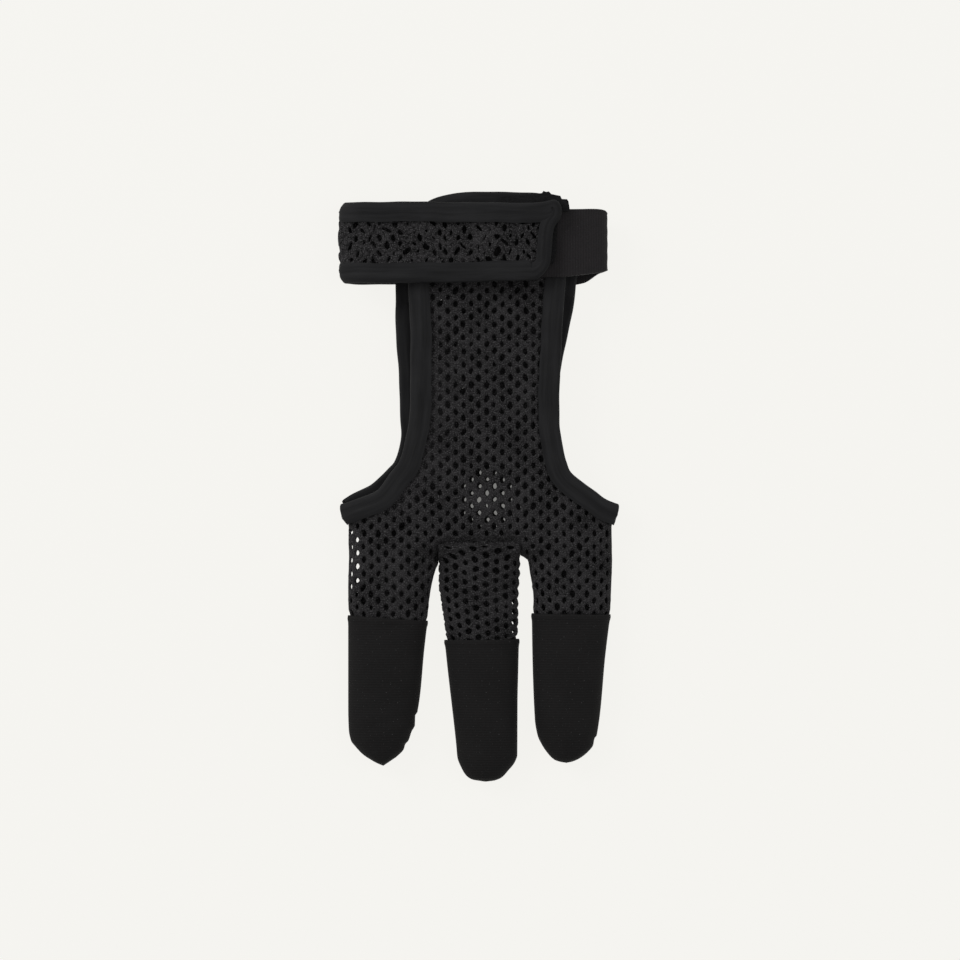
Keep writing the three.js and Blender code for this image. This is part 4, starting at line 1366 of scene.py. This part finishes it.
class GLOVE_OT_elastic(bpy.types.Operator):
    """Elastic band round the right side of the wrist."""

    bl_idname = "glove.elastic"
    bl_label = "Elastic band"

    def execute(self, context):
        rows = np.array(ELASTIC_ROUTE)
        band = Band([(x, 0.0, z) for x, z, low, high in rows], 0.0)
        reach = lengths_along(rows[:, :2])
        low, high = (smooth_curve(reach / reach[-1] * band.length, rows[:, k]) for k in (2, 3))
        wide = float(np.max(rows[:, 3] - rows[:, 2]))
        rib, rib_height, rim_drop, waviness = 0.95, 0.02, 0.18, 0.12
        along, across = np.linspace(0, band.length, 220), np.linspace(0, 1, 30)
        flat = np.array([(a, v * wide) for a in along for v in across])
        placed = np.array([(a, low(a) + (high(a) - low(a)) * v) for a in along for v in across])
        edge = np.minimum(flat[:, 1], wide - flat[:, 1])
        lift = rib_height * np.sin(flat[:, 0] * 2 * np.pi / rib) * fade(0.2, 1.0, edge)
        lift = lift - rim_drop * (1 - fade(0, 0.7, edge)) + waviness * ripple(flat[:, 0], flat[:, 1], 5)
        count = len(across)
        faces = [(k * count + j, k * count + j + 1, (k + 1) * count + j + 1, (k + 1) * count + j)
                 for k in range(len(along) - 1) for j in range(count - 1)]
        piece = new_piece("elastic", band.place(placed, lift), faces, flat)
        thicken(piece, sizes()["elastic_thickness"], 0.0)
        tidy(piece, 50)
        dress(piece, "Woven elastic", "elastic_band")
        return {"FINISHED"}


class GLOVE_OT_hook_patch(bpy.types.Operator):
    """Hook tape, cut raggedly, between the strap's free end and the elastic."""

    bl_idname = "glove.hook_patch"
    bl_label = "Hook tape"

    def execute(self, context):
        mesh = bmesh.new()
        corners = [mesh.verts.new((x * MM, y * MM, HOOK_FOOT * MM)) for x, y in HOOK_OUTLINE]
        up = bmesh.ops.extrude_face_region(mesh, geom=[mesh.faces.new(corners)])
        raised = [g for g in up["geom"] if isinstance(g, bmesh.types.BMVert)]
        bmesh.ops.translate(mesh, verts=raised, vec=(0, 0, HOOK_THICKNESS * MM))
        bmesh.ops.recalc_face_normals(mesh, faces=mesh.faces)
        data = bpy.data.meshes.new("hook_tab")
        mesh.to_mesh(data)
        mesh.free()
        layer = data.uv_layers.new(name="flat")
        for loop in data.loops:
            p = data.vertices[loop.vertex_index].co / MM
            layer.data[loop.index].uv = (p.x + p.z, p.y)
        piece = bpy.data.objects.new("hook_tab", data)
        context.scene.collection.objects.link(piece)
        dress(piece, "Nylon hook tape", "hook_patch")
        return {"FINISHED"}


OPERATORS = (
    GLOVE_OT_stage,
    GLOVE_OT_back_net,
    GLOVE_OT_palm_net,
    GLOVE_OT_middle_net,
    GLOVE_OT_stalls,
    GLOVE_OT_bindings,
    GLOVE_OT_strap,
    GLOVE_OT_elastic,
    GLOVE_OT_hook_patch,
)


class GLOVE_PT_panel(bpy.types.Panel):
    """Lists the glove's steps in the sidebar."""

    bl_idname = "GLOVE_PT_panel"
    bl_label = "Archery Glove"
    bl_space_type = "VIEW_3D"
    bl_region_type = "UI"
    bl_category = "Glove"

    def draw(self, context):
        for group in (context.scene.glove_sizes, context.scene.glove_colours):
            for name in group.__annotations__:
                self.layout.prop(group, name)
        for step in OPERATORS:
            self.layout.operator(step.bl_idname)


CLASSES = (GloveSizes, GloveColours, *OPERATORS, GLOVE_PT_panel)


def register():
    for item in CLASSES:
        bpy.utils.register_class(item)
    bpy.types.Scene.glove_sizes = bpy.props.PointerProperty(type=GloveSizes)
    bpy.types.Scene.glove_colours = bpy.props.PointerProperty(type=GloveColours)


def unregister():
    del bpy.types.Scene.glove_colours
    del bpy.types.Scene.glove_sizes
    for item in reversed(CLASSES):
        bpy.utils.unregister_class(item)


def main():
    register()
    for step in OPERATORS:
        group, name = step.bl_idname.split(".")
        getattr(getattr(bpy.ops, group), name)()


if __name__ == "__main__":
    main()
